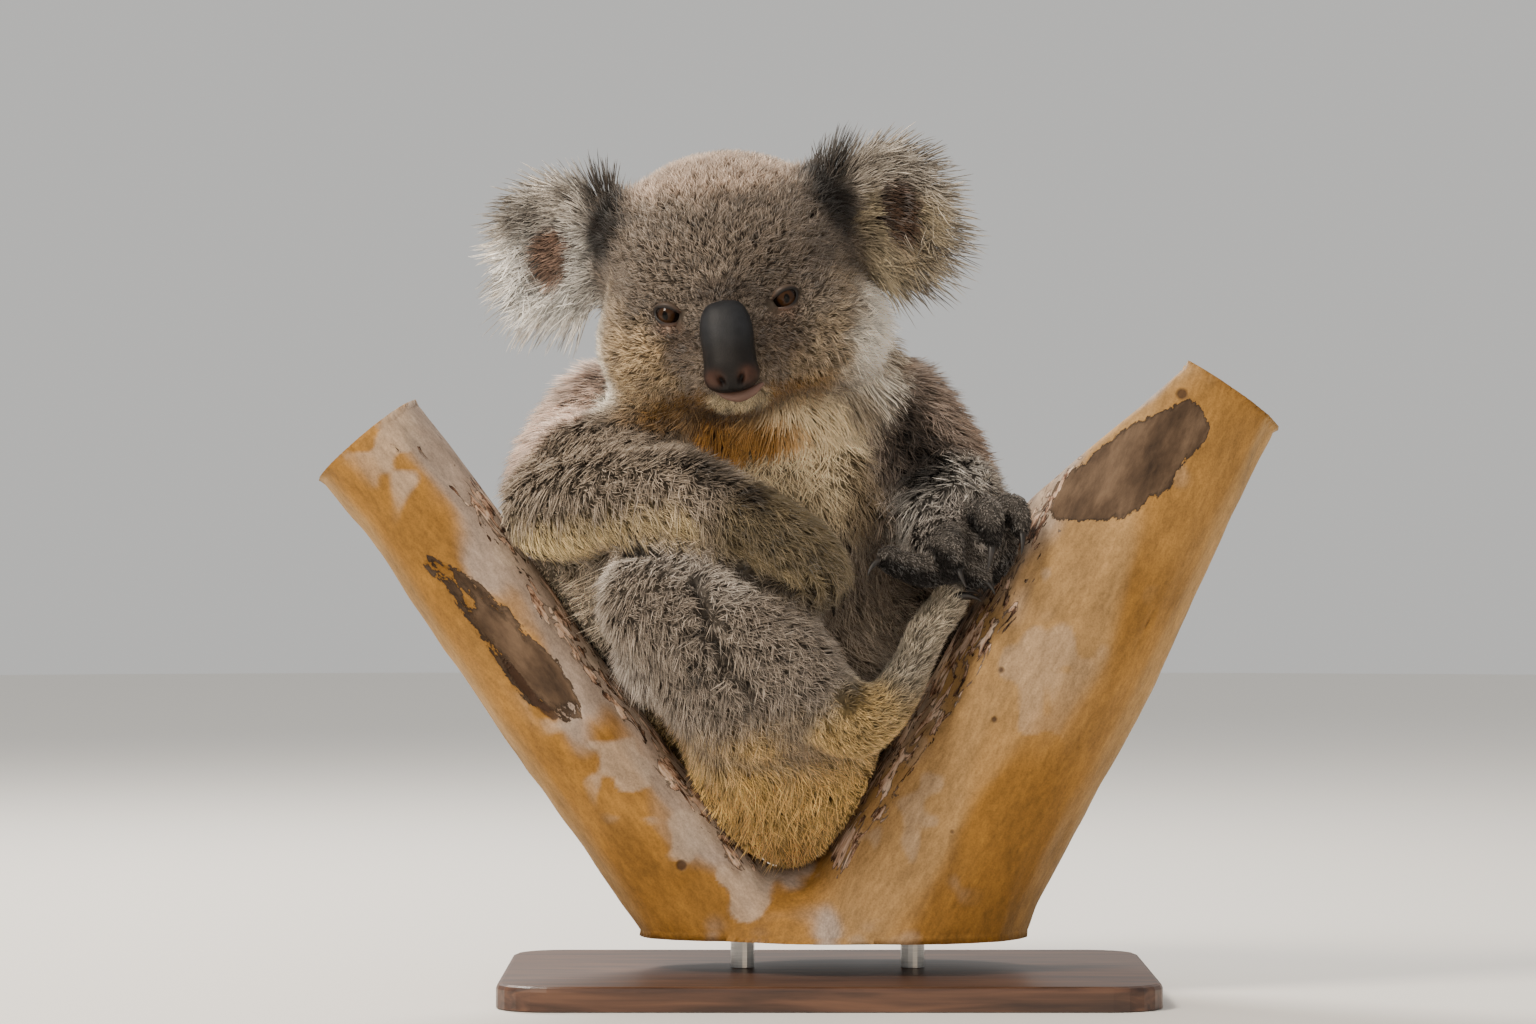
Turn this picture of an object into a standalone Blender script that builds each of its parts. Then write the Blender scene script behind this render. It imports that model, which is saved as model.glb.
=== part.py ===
"""A koala sitting in a forked eucalyptus perch, on a plain display stand.

Life size, in metres, +Z up, the animal looking along -Y. The origin is the middle of the
stand's underside. The tables give places and radii in centimetres from the seat point,
which is level with the crotch of the fork. "Right" and "left" are the animal's own sides,
so its right is at -X. Every outline includes the coat, out to the tips of the fur.
"""

import math

import bmesh
import bpy
from mathutils import Euler, Matrix, Vector

CM = 0.01
GAP = 0.0004  # clearance between two sawn or turned pieces that touch, in metres
TRIM_GAP = 0.0019  # room left round a neighbour before a piece is pressed smooth again
LAST_GAP = 0.0003  # and the clearance that its coarse facets keep in the end
WELDS = (4e-5, 8e-6, 0.0)  # widths of slivers to weld, tried in turn, in metres
CUTTER_TRIANGLES = 4000
LIMB_TRIANGLES = 3000
SLAB_SIZE = 120.0  # larger than the whole model
CLAW_RADIUS = 0.34

# ---------------------------------------------------------------- stand
BASE_SIZE = (38.0, 25.0, 1.4)  # width, depth and thickness of the base plate
BASE_CORNER = 3.0
BASE_EDGE = 0.3
ROD_RADIUS = 0.7
ROD_HEIGHT = 1.9
ROD_REACH = 5.0  # each rod's distance from the trunk's middle
TRUNK_STUB = 4.1  # how far the trunk goes on below the seat point
TRUNK_X = 3.5  # the trunk's middle, seen from the seat point
SEAT_HEIGHT = BASE_SIZE[2] + ROD_HEIGHT + TRUNK_STUB
SEAT = Matrix.Translation(Vector((-TRUNK_X, 0.0, SEAT_HEIGHT)) * CM) @ Matrix.Scale(CM, 4)

# ---------------------------------------------------------------- perch: x, y, z, radius
TRUNK_LINE = [(3.6, 0, -16, 9.0), (3.5, 0, -12, 8.9), (3.3, 0, -8.6, 8.3)]
RIGHT_LIMB_LINE = [
    (0.4, 0, -7.5, 4.9), (-3.6, 0, -2.2, 4.3), (-9.0, 0, 4.9, 3.95), (-13.2, 0, 10.6, 3.85),
    (-17.4, 0.3, 16.8, 3.8), (-20.8, 0.6, 21.6, 3.75), (-25.2, 1.0, 26.8, 3.8), (-30.0, 1.4, 31.8, 3.7),
]
LEFT_LIMB_LINE = [
    (6.6, 0, -7.5, 7.0), (10.0, 0, 0.1, 6.5), (13.9, 0, 6.8, 6.1), (17.6, 0, 13.3, 6.0),
    (21.5, 0.4, 21.5, 5.85), (24.6, 0.8, 27.4, 5.7), (28.7, 1.3, 34.0, 5.5),
]
RIGHT_LIMB_CUT = 25.0  # heights at which the two limbs are sawn off square
LEFT_LIMB_CUT = 28.6
LIMB_ROOT = 2.5  # how far above the seat point the limbs part from the trunk

# ---------------------------------------------------------------- head, in its own frame
HEAD_AT = (-2.2, -2.8, 33.2)  # the point between the eyes' corners, inside the skull
HEAD_ROLL, HEAD_YAW, HEAD_NOD = -8.0, -3.0, 3.0  # degrees
EYE_AT, EYE_RADIUS = (3.33, -4.95, -0.3), 0.8
EAR_AT = {"right": (9.8, 0.3, 4.6), "left": (9.8, 0.3, 3.8)}
EAR_RADII, EAR_TURN = (4.4, 2.6, 5.1), (8, -14, -16)
HEAD_FRAME = (
    Matrix.Translation(HEAD_AT)
    @ Matrix.Rotation(math.radians(HEAD_YAW), 4, "Z")
    @ Matrix.Rotation(math.radians(HEAD_ROLL), 4, "Y")
    @ Matrix.Rotation(math.radians(HEAD_NOD), 4, "X")
)

# ---------------------------------------------------------------- colours, linear RGB
COLOURS = {
    "grey_fur": ((0.23, 0.19, 0.16), 0.9),
    "pale_fur": ((0.52, 0.42, 0.29), 0.9),
    "nose_leather": ((0.016, 0.016, 0.018), 0.45),
    "eye": ((0.05, 0.02, 0.008), 0.05),
    "claw": ((0.02, 0.018, 0.016), 0.35),
    "bark": ((0.50, 0.33, 0.17), 0.8),
    "stand_wood": ((0.07, 0.035, 0.018), 0.4),
    "stand_steel": ((0.55, 0.55, 0.56), 0.3),
}


def material(name):
    """The named finish as a Principled material, made once."""
    found = bpy.data.materials.get(name)
    if found:
        return found
    made = bpy.data.materials.new(name)
    made.use_nodes = True
    colour, roughness = COLOURS[name]
    shader = made.node_tree.nodes["Principled BSDF"]
    shader.inputs["Base Color"].default_value = (*colour, 1.0)
    shader.inputs["Roughness"].default_value = roughness
    shader.inputs["Metallic"].default_value = 1.0 if name == "stand_steel" else 0.0
    return made


def new_object(name, bm, finish):
    """A linked mesh object from a bmesh."""
    mesh = bpy.data.meshes.new(name)
    bmesh.ops.recalc_face_normals(bm, faces=bm.faces)
    bm.to_mesh(mesh)
    bm.free()
    mesh.shade_smooth()
    mesh.materials.append(material(finish))
    made = bpy.data.objects.new(name, mesh)
    bpy.context.scene.collection.objects.link(made)
    return made


def settle(obj):
    """Applies the object's modifiers to its mesh."""
    graph = bpy.context.evaluated_depsgraph_get()
    mesh = bpy.data.meshes.new_from_object(obj.evaluated_get(graph))
    obj.modifiers.clear()
    obj.data = mesh
    return obj


# ---------------------------------------------------------------- clay


def bead(bm, centre, radii, turn=(0, 0, 0), frame=Matrix(), rings=3):
    """One ellipsoid. turn is in degrees about its own X, Y and Z."""
    radii = radii if isinstance(radii, tuple) else (radii,) * 3
    spin = Euler([math.radians(a) for a in turn]).to_matrix().to_4x4()
    stretch = Matrix.Diagonal((*radii, 1.0))
    place = SEAT @ frame @ Matrix.Translation(centre) @ spin @ stretch
    bmesh.ops.create_icosphere(bm, subdivisions=rings, radius=1.0, matrix=place)


def between(a, b, c, d, t):
    """The Catmull-Rom curve from b to c, at share t."""
    return 0.5 * (2 * b + (c - a) * t + (2 * a - 5 * b + 4 * c - d) * t**2 + (3 * b - a - 3 * c + d) * t**3)


def string(bm, line, frame=Matrix(), step=0.22):
    """Beads so close along a smooth line of (x, y, z, radius) that they make one tapered limb."""
    line = [Vector(point) for point in line]
    ends = [2 * line[0] - line[1], *line, 2 * line[-1] - line[-2]]
    for a, b, c, d in zip(ends, ends[1:], ends[2:], ends[3:]):
        length = (c.xyz - b.xyz).length
        count = max(2, math.ceil(length / (step * min(b[3], c[3]))))
        for i in range(count + 1):
            x, y, z, radius = between(a, b, c, d, i / count)
            bead(bm, (x, y, z), radius, frame=frame)


def press(obj, voxel, triangles, rounds=0):
    """Remeshes an object in voxels, smooths it, and makes it coarse."""
    finish = obj.data.materials[0]
    remesh = obj.modifiers.new("remesh", "REMESH")
    remesh.mode = "VOXEL"
    remesh.voxel_size = voxel * CM
    smooth = obj.modifiers.new("smooth", "SMOOTH")
    smooth.factor = 0.5
    smooth.iterations = rounds
    settle(obj)
    obj.data.materials.clear()
    obj.data.materials.append(finish)
    obj.data.shade_smooth()
    coarse = obj.modifiers.new("coarse", "DECIMATE")
    coarse.ratio = min(1.0, triangles / (2.0 * len(obj.data.polygons)))
    return settle(obj)


def clay(name, finish, voxel, rounds, triangles, beads=(), strings=(), frame=Matrix()):
    """Beads and strings pressed into one lump."""
    bm = bmesh.new()
    for one in beads:
        bead(bm, *one, frame=frame, rings=4)
    for line in strings:
        string(bm, line, frame=frame)
    return press(new_object(name, bm, finish), voxel, triangles, rounds)


# ---------------------------------------------------------------- trimming


def swollen(obj, by, voxel=0.0):
    """A hidden copy whose surface stands a gap further out, used to cut its neighbours."""
    copy = obj.copy()
    copy.data = obj.data.copy()
    copy.name = "cutter_" + obj.name
    copy.hide_render = True
    copy.display_type = "WIRE"
    bpy.context.scene.collection.objects.link(copy)
    for vertex, normal in zip(copy.data.vertices, [v.normal.copy() for v in obj.data.vertices]):
        vertex.co += normal * by
    if voxel:
        press(copy, voxel, CUTTER_TRIANGLES)
    return copy


def corners(obj):
    points = [vertex.co for vertex in obj.data.vertices]
    low = Vector([min(p[i] for p in points) for i in range(3)])
    high = Vector([max(p[i] for p in points) for i in range(3)])
    return low, high


def near(one, other):
    """Whether two boxes touch."""
    (low_a, high_a), (low_b, high_b) = corners(one), corners(other)
    return all(low_a[i] <= high_b[i] and low_b[i] <= high_a[i] for i in range(3))


def boolean(obj, cutter, operation="DIFFERENCE"):
    cut = obj.modifiers.new("cut", "BOOLEAN")
    cut.operation = operation
    cut.solver = "EXACT"
    cut.object = cutter
    settle(obj)
    if not obj.data.vertices:
        raise ValueError(f"{obj.name} lies wholly inside {cutter.name}")


def islands(bm):
    """The mesh's separate lumps, smallest first."""
    left, lumps = set(bm.verts), []
    while left:
        lump, rim = set(), [left.pop()]
        while rim:
            vertex = rim.pop()
            lump.add(vertex)
            for link in vertex.link_edges:
                other = link.other_vert(vertex)
                if other in left:
                    left.discard(other)
                    rim.append(other)
        lumps.append(lump)
    return sorted(lumps, key=len)


def keep_largest(obj):
    """Drops the crumbs that trimming can leave, and welds slivers where the mesh stays closed."""
    for weld in WELDS:
        bm = bmesh.new()
        bm.from_mesh(obj.data)
        bmesh.ops.triangulate(bm, faces=bm.faces)
        if weld:
            bmesh.ops.remove_doubles(bm, verts=bm.verts, dist=weld)
            bmesh.ops.dissolve_degenerate(bm, dist=weld / 2, edges=bm.edges)
            bmesh.ops.triangulate(bm, faces=bm.faces)
        for lump in islands(bm)[:-1]:
            bmesh.ops.delete(bm, geom=list(lump), context="VERTS")
        closed = all(len(edge.link_faces) == 2 for edge in bm.edges) and all(v.is_manifold for v in bm.verts)
        if closed or not weld:
            bm.to_mesh(obj.data)
            bm.free()
            return
        bm.free()


def slab(point, normal):
    """A hidden box that fills the half of space beyond a plane, out to the edge of the model."""
    bm = bmesh.new()
    tilt = Vector((0, 0, 1)).rotation_difference(Vector(normal)).to_matrix().to_4x4()
    place = SEAT @ Matrix.Translation(point) @ tilt @ Matrix.Translation((0, 0, SLAB_SIZE / 2))
    bmesh.ops.create_cube(bm, size=SLAB_SIZE, matrix=place)
    obj = new_object("cutter_slab", bm, "bark")
    obj.hide_render = True
    obj.display_type = "WIRE"
    return obj


def discard(*objects):
    for obj in objects:
        bpy.data.objects.remove(obj)


def saw_off(obj, point, normal):
    """Removes what lies beyond a plane."""
    cutter = slab(point, normal)
    boolean(obj, cutter)
    discard(cutter)


# ---------------------------------------------------------------- stand and perch


def make_stand():
    width, depth, height = BASE_SIZE
    bm = bmesh.new()
    bmesh.ops.create_cube(bm, size=1.0, matrix=Matrix.Translation((0, 0, height * CM / 2)))
    bmesh.ops.scale(bm, vec=(width * CM, depth * CM, 1.0), verts=bm.verts)
    for vertex in bm.verts:
        vertex.co.z = height * CM if vertex.co.z > height * CM / 2 else 0.0
    uprights = [e for e in bm.edges if abs(e.verts[0].co.z - e.verts[1].co.z) > 1e-6]
    bmesh.ops.bevel(bm, geom=uprights, offset=BASE_CORNER * CM, segments=5, affect="EDGES", profile=0.5)
    rim = [e for e in bm.edges if all(v.co.z > height * CM - 1e-6 for v in e.verts) and len(e.link_faces) == 2
           and any(abs(f.normal.z) < 0.5 for f in e.link_faces)]
    bmesh.ops.bevel(bm, geom=rim, offset=BASE_EDGE * CM, segments=2, affect="EDGES", profile=0.5)
    base = new_object("stand_base", bm, "stand_wood")
    base.data.set_sharp_from_angle(angle=math.radians(35))
    for number, side in enumerate((-1, 1), start=1):
        bm = bmesh.new()
        middle = (height + ROD_HEIGHT / 2) * CM
        bmesh.ops.create_cone(
            bm, cap_ends=True, segments=16, radius1=ROD_RADIUS * CM, radius2=ROD_RADIUS * CM,
            depth=ROD_HEIGHT * CM - 2 * GAP, matrix=Matrix.Translation((side * ROD_REACH * CM, 0, middle)),
        )
        rod = new_object(f"stand_rod_{number}", bm, "stand_steel")
        rod.data.set_sharp_from_angle(angle=math.radians(35))


def make_perch():
    """The fork as one lump, sawn square at its three ends and parted where the limbs begin."""
    whole = clay("perch", "bark", 0.7, 5, 900, strings=[TRUNK_LINE, RIGHT_LIMB_LINE, LEFT_LIMB_LINE])
    saw_off(whole, (0, 0, -TRUNK_STUB), (0, 0, -1))
    right_way, left_way = Vector((-4.4, 0.4, 5.2)), Vector((4.1, 0.5, 6.6))
    right_end, left_end = point_at(RIGHT_LIMB_LINE, RIGHT_LIMB_CUT), point_at(LEFT_LIMB_LINE, LEFT_LIMB_CUT)
    saw_off(whole, right_end, right_way)
    saw_off(whole, left_end, left_way)
    pieces = []
    for name, line, way in (
        ("perch_right_limb", RIGHT_LIMB_LINE, right_way),
        ("perch_left_limb", LEFT_LIMB_LINE, left_way),
    ):
        root = Vector(point_at(line, LIMB_ROOT))
        limb = whole.copy()
        limb.data = whole.data.copy()
        limb.name = name
        bpy.context.scene.collection.objects.link(limb)
        beyond = slab(root, way)
        boolean(limb, beyond, "INTERSECT")
        discard(beyond)
        keep_largest(limb)
        saw_off(whole, root - way.normalized() * GAP / CM, way)
        pieces.append(limb)
    whole.name = "perch_trunk"
    keep_largest(whole)
    for piece in (whole, *pieces):
        piece.data.set_sharp_from_angle(angle=math.radians(50))
    return [whole, *pieces]


def point_at(line, height):
    """Where a line of stations reaches a height."""
    for a, b in zip(line, line[1:]):
        if a[2] <= height <= b[2]:
            t = (height - a[2]) / (b[2] - a[2])
            return tuple(a[i] + (b[i] - a[i]) * t for i in range(3))
    raise ValueError("the line doesn't reach that height")


# ---------------------------------------------------------------- head


def make_head():
    eyes = []
    for side, sign in (("right", -1), ("left", 1)):
        bm = bmesh.new()
        x, y, z = EYE_AT
        bead(bm, (sign * x, y, z), EYE_RADIUS, frame=HEAD_FRAME, rings=2)
        eyes.append(new_object(f"{side}_eye", bm, "eye"))
    nose = clay(
        "nose", "nose_leather", 0.2, 3, 1200, frame=HEAD_FRAME,
        beads=[
            ((-0.15, -7.0, -0.9), (1.5, 1.1, 0.95)),
            ((-0.15, -7.5, -2.2), (1.7, 1.35, 1.75)),
            ((-0.1, -8.0, -3.7), (1.72, 1.4, 1.45)),
            ((-0.95, -8.0, -4.35), (0.9, 1.0, 0.85)),
            ((0.75, -8.0, -4.35), (0.9, 1.0, 0.85)),
        ],
    )
    skull = clay(
        "head", "grey_fur", 0.42, 8, 5000, frame=HEAD_FRAME,
        beads=[
            ((0, 1.4, 2.1), (7.6, 7.5, 6.7)),  # cranium
            ((0, -2.2, 2.4), (6.2, 4.2, 4.2)),  # forehead
            ((0, -1.2, -1.2), (7.0, 5.0, 5.0)),  # middle of the face
            ((-4.2, -1.2, -2.0), (4.0, 4.7, 4.3)),  # cheeks
            ((4.2, -1.2, -2.0), (4.0, 4.7, 4.3)),
            ((0, -4.0, -3.2), (3.7, 4.0, 3.0)),  # muzzle
            ((0, -4.4, -5.1), (2.7, 2.9, 1.7)),  # chin
            ((0, 0.4, -3.2), (6.0, 6.4, 3.6)),  # jaw and throat
            ((0, -5.2, 0.4), (2.1, 1.8, 2.2)),  # bridge above the nose
            ((0, -5.2, -1.6), (2.3, 2.2, 2.6)),  # and behind it
        ],
    )
    ears = []
    for side, sign in (("right", -1), ("left", 1)):
        x, y, z = EAR_AT[side]
        tilt = (EAR_TURN[0], sign * -EAR_TURN[1], sign * EAR_TURN[2])
        ears.append(
            clay(
                f"{side}_ear", "grey_fur", 0.45, 5, 2000, frame=HEAD_FRAME,
                beads=[
                    ((sign * x, y, z), EAR_RADII, tilt),
                    ((sign * (x - 3.2), y + 0.4, z - 0.2), (2.8, 2.6, 4.0), tilt),
                    ((sign * (x - 0.3), y + 0.1, z - 3.2), (3.6, 2.2, 2.8), tilt),
                ],
            )
        )
    return eyes, nose, skull, ears


# ---------------------------------------------------------------- limbs


def claw(name, root, knuckle, tip, radius):
    """A curved horn cone, from its root round a bend to its point."""
    root, knuckle, tip = Vector(root), Vector(knuckle), Vector(tip)
    sides, rings = 5, 3
    bm = bmesh.new()
    loops = []
    side = (tip - root).cross(knuckle - root).normalized()
    for i in range(rings):
        t = i / rings
        centre = (1 - t) ** 2 * root + 2 * t * (1 - t) * knuckle + t * t * tip
        way = (2 * (1 - t) * (knuckle - root) + 2 * t * (tip - knuckle)).normalized()
        across = way.cross(side).normalized()
        reach = radius * (1 - t) ** 0.7
        loops.append([
            bm.verts.new(SEAT @ (centre + reach * (math.cos(a) * side * 0.75 + math.sin(a) * across)))
            for a in (2 * math.pi * k / sides for k in range(sides))
        ])
    for one, following in zip(loops, loops[1:]):
        for k in range(sides):
            bm.faces.new((one[k], one[(k + 1) % sides], following[(k + 1) % sides], following[k]))
    point = bm.verts.new(SEAT @ tip)
    for k in range(sides):
        bm.faces.new((loops[-1][k], loops[-1][(k + 1) % sides], point))
    bm.faces.new(list(reversed(loops[0])))
    return new_object(name, bm, "claw")


# Each digit is its line of stations, then its claw's knuckle, tip and radius.
RIGHT_ARM = [(-8.9, 3.2, 25.3, 5.0), (-11.3, 1.0, 22.8, 4.3), (-12.2, -1.6, 21.3, 3.4)]
RIGHT_FOREARM = [
    (-12.2, -2.0, 21.2, 3.7), (-9.4, -5.8, 21.8, 3.2), (-4.4, -8.2, 21.9, 2.75), (-1.4, -9.1, 20.4, 2.35),
]
RIGHT_HAND = [
    (-1.4, -9.1, 20.4, 2.5), (-0.2, -9.2, 19.8, 2.4), (1.5, -9.1, 18.8, 2.35), (2.7, -8.4, 17.7, 2.05),
]
RIGHT_FINGERS = [
    ([(0.6, -8.8, 17.6, 1.1), (1.2, -7.9, 16.4, 0.9), (1.6, -6.7, 16.2, 0.7)],
     (1.7, -5.9, 15.8), (1.7, -5.4, 14.8)),
    ([(1.6, -8.8, 17.2, 1.1), (2.2, -7.9, 16.0, 0.9), (2.7, -6.5, 15.9, 0.7)],
     (2.8, -5.7, 15.5), (2.8, -5.2, 14.5)),
    ([(2.5, -8.5, 17.2, 1.1), (3.2, -7.6, 16.2, 0.95), (3.7, -6.1, 16.1, 0.7)],
     (3.8, -5.3, 15.7), (3.8, -4.8, 14.7)),
    ([(3.0, -8.2, 18.0, 1.1), (3.9, -7.1, 17.2, 0.95), (4.3, -5.6, 17.0, 0.7)],
     (4.4, -4.8, 16.6), (4.4, -4.3, 15.6)),
    ([(2.8, -8.0, 18.8, 1.0), (3.8, -6.8, 18.2, 0.85), (4.2, -5.5, 18.0, 0.65)],
     (4.3, -4.8, 17.7), (4.4, -4.3, 16.8)),
]
LEFT_ARM = [(6.7, 3.2, 25.4, 5.2), (9.4, 2.2, 22.8, 4.3), (10.5, 0.6, 21.6, 3.4)]
LEFT_FOREARM = [(10.5, 0.2, 21.4, 3.7), (10.3, -1.8, 20.4, 3.3), (10.7, -3.2, 19.5, 2.5)]
LEFT_HAND = [(10.7, -3.4, 19.5, 2.65), (11.1, -4.2, 19.2, 2.2), (11.7, -4.8, 18.7, 1.8)]
LEFT_FINGERS = [
    ([(10.9, -4.8, 17.9, 1.0), (9.0, -5.6, 17.4, 0.85), (6.9, -6.1, 18.1, 0.78)],
     (6.0, -6.7, 18.1), (5.7, -7.1, 17.1)),
    ([(11.2, -4.6, 17.6, 0.9), (11.7, -5.0, 16.9, 0.8), (12.4, -5.1, 16.8, 0.6)],
     (12.9, -5.5, 16.7), (13.1, -5.9, 16.0)),
    ([(11.0, -5.2, 18.6, 1.0), (10.9, -6.3, 18.0, 0.85)], (10.9, -7.2, 17.4), (11.4, -7.3, 16.4)),
    ([(12.4, -4.8, 19.4, 1.1), (12.9, -5.7, 20.4, 1.0), (13.0, -6.2, 19.3, 0.75)],
     (12.9, -6.9, 18.5), (12.6, -6.9, 17.3)),
    ([(12.6, -4.2, 19.8, 1.1), (14.0, -4.4, 20.9, 0.95), (14.6, -5.1, 20.1, 0.75)],
     (14.8, -5.9, 19.4), (14.6, -6.1, 18.3)),
]
RIGHT_THIGH = [
    ((-2.4, -2.2, 10.4), (4.0, 5.4, 7.2), (0, -35, 0)),
    ((-5.9, -5.0, 13.4), (3.6, 4.2, 4.2)),
    ((-0.6, -4.2, 8.4), (4.6, 4.0, 4.6), (0, 37, 0)),
    ((0.9, 0.1, 6.6), (6.0, 6.5, 7.0)),
]
RIGHT_SHIN = [(-6.0, -6.9, 15.6, 4.1), (-3.4, -7.7, 14.4, 4.2), (0.2, -8.0, 12.2, 3.8), (3.4, -7.4, 9.7, 2.3)]
RIGHT_SHIN_CALF = ((-1.8, -6.4, 11.6), (6.2, 3.9, 5.0), (0, 37, 0))
RIGHT_FOOT = [
    (3.4, -7.4, 9.7, 2.45), (5.0, -7.1, 8.6, 2.1), (6.7, -6.4, 9.6, 1.7), (8.2, -5.4, 11.7, 1.35),
    (9.2, -4.6, 13.8, 1.3), (10.5, -4.1, 15.5, 1.2),
]
RIGHT_TOES = [
    ([(10.2, -4.9, 15.0, 0.8), (11.0, -4.9, 15.9, 0.65)], (11.7, -5.0, 16.1), (12.4, -4.8, 15.6)),
    ([(10.2, -4.0, 15.2, 0.8), (11.1, -3.7, 16.2, 0.65)], (11.8, -3.6, 16.4), (12.5, -3.2, 15.9)),
    ([(10.0, -3.2, 15.2, 0.8), (10.9, -2.5, 16.3, 0.65)], (11.6, -2.3, 16.5), (12.4, -1.9, 16.0)),
    ([(9.8, -2.6, 14.8, 0.8), (10.5, -1.5, 15.9, 0.65)], (11.2, -1.2, 16.1), (12.0, -0.8, 15.6)),
]
LEFT_THIGH = [
    ((7.2, 6.6, 11.4), (5.6, 5.4, 6.8), (0, 35, 0)),
    ((3.8, 4.8, 7.4), (6.4, 6.4, 6.0)),
]
LEFT_SHIN = [(10.2, 8.6, 14.4, 3.9), (11.6, 9.6, 11.8, 3.3), (12.2, 9.6, 9.6, 2.3)]
LEFT_FOOT = [
    (12.2, 9.6, 9.6, 2.45), (12.8, 9.4, 8.6, 2.2), (15.0, 8.7, 10.6, 1.8), (17.2, 7.9, 13.4, 1.6),
    (18.4, 7.5, 15.2, 1.4),
]
LEFT_TOES = [
    ([(18.0, 7.4, 14.4, 0.8), (19.6, 6.6, 15.4, 0.7), (20.8, 5.9, 16.0, 0.6)],
     (21.5, 5.6, 16.5), (22.2, 4.8, 16.4)),
    ([(18.4, 7.6, 15.4, 0.8), (19.9, 7.2, 17.2, 0.7), (21.0, 6.6, 18.3, 0.6)],
     (21.6, 6.4, 19.0), (22.2, 5.6, 19.2)),
    ([(18.2, 7.8, 15.6, 0.8), (19.1, 7.5, 17.9, 0.7), (19.9, 7.1, 19.4, 0.6)],
     (20.4, 7.0, 20.2), (20.8, 6.2, 20.6)),
    ([(17.8, 7.8, 15.4, 0.8), (17.9, 7.7, 17.6, 0.7), (18.2, 7.4, 19.2, 0.6)],
     (18.4, 7.3, 20.0), (18.7, 6.5, 20.6)),
]


def join_up(order):
    """Gives each piece its room, in order: what comes earlier in the list cuts what comes later.

    A piece is cut with clearance, pressed smooth again, made coarse, and then cut where the
    coarse facets still reach into a finished neighbour.
    """
    cutters, finished = [], []
    for obj, voxel, triangles in order:
        whole = swollen(obj, TRIM_GAP, voxel)
        if triangles:
            for cutter in cutters:
                if near(obj, cutter):
                    boolean(obj, cutter)
            keep_largest(obj)
            press(obj, voxel, triangles)
        for cutter in finished:
            if obj not in PERCH and near(obj, cutter):
                boolean(obj, cutter)
        keep_largest(obj)
        cutters.append(whole)
        finished.append(swollen(obj, LAST_GAP))
    discard(*cutters, *finished)


PERCH = []


def main():
    for obj in list(bpy.data.objects):
        bpy.data.objects.remove(obj)
    make_stand()
    PERCH.extend(make_perch())
    eyes, nose, skull, ears = make_head()
    fur = "grey_fur"

    def limb(name, line, voxel=0.5, rounds=5, beads=(), extra=()):
        return clay(name, fur, voxel, rounds, LIMB_TRIANGLES, beads=beads, strings=[line, *extra])

    claws = []
    for prefix, digits in (
        ("right_hand", RIGHT_FINGERS), ("left_hand", LEFT_FINGERS),
        ("right_foot", RIGHT_TOES), ("left_foot", LEFT_TOES),
    ):
        for number, (line, knuckle, tip) in enumerate(digits, start=1):
            claws.append(claw(f"{prefix}_claw_{number}", line[-1][:3], knuckle, tip, CLAW_RADIUS))

    def digits_of(table):
        return [digit[0] for digit in table]

    neck = clay("neck", fur, 0.5, 6, LIMB_TRIANGLES, beads=[
        ((-0.5, 2.8, 27.8), (9.2, 7.4, 5.8)),
        ((-0.8, -0.6, 27.0), (6.8, 5.6, 4.4)),
    ])
    trunk = clay("trunk", fur, 0.6, 8, 5000, beads=[
        ((0.9, 4.6, 8.8), (8.6, 9.4, 8.4)),  # pelvis and rump
        ((-2.3, 5.3, 16.0), (10.3, 9.0, 10.4)),  # belly and back
        ((-0.8, 3.8, 22.0), (10.0, 8.2, 7.7)),  # chest and shoulders
        ((0.6, -1.2, 22.4), (6.4, 4.8, 6.8)),  # breast
        ((-6.4, 3.6, 15.6), (7.3, 6.0, 5.2)),  # right flank
    ])
    order = [
        *((piece, 0, 0) for piece in PERCH),
        *((eye, 0, 0) for eye in eyes),
        (skull, 0.42, 1000),
        (nose, 0.22, 300),
        *((ear, 0.4, 300) for ear in ears),
        (limb("right_hand", RIGHT_HAND, 0.26, 3, extra=digits_of(RIGHT_FINGERS)), 0.25, 430),
        (limb("left_hand", LEFT_HAND, 0.24, 3, extra=digits_of(LEFT_FINGERS)), 0.22, 640),
        (limb("right_foot", RIGHT_FOOT, 0.26, 3, extra=digits_of(RIGHT_TOES)), 0.25, 400),
        (limb("left_foot", LEFT_FOOT, 0.26, 3, extra=digits_of(LEFT_TOES)), 0.25, 440),
        *((one, 0, 0) for one in claws),
        (limb("right_forearm", RIGHT_FOREARM), 0.4, 300),
        (limb("left_forearm", LEFT_FOREARM), 0.4, 260),
        (limb("right_upper_arm", RIGHT_ARM), 0.4, 300),
        (limb("left_upper_arm", LEFT_ARM), 0.4, 300),
        (limb("right_shin", RIGHT_SHIN, beads=[RIGHT_SHIN_CALF]), 0.4, 420),
        (limb("left_shin", LEFT_SHIN), 0.4, 260),
        (clay("right_thigh", fur, 0.5, 6, LIMB_TRIANGLES, beads=RIGHT_THIGH), 0.45, 420),
        (neck, 0.45, 300),
        (trunk, 0.5, 1050),
        (clay("left_thigh", fur, 0.5, 6, LIMB_TRIANGLES, beads=LEFT_THIGH), 0.45, 240),
    ]
    join_up(order)


main()
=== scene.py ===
# A koala at rest in the fork of a smooth-barked gum tree, as a life-size display model on its stand.
# Lengths in the tables are centimetres, measured from the point of the fork where the animal sits:
# x to the right, y away from the viewer, z up. place() turns them to metres in the model's own frame.
import math

import bmesh
import bpy
import numpy as np
from mathutils import Matrix, Vector
from mathutils.bvhtree import BVHTree


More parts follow.
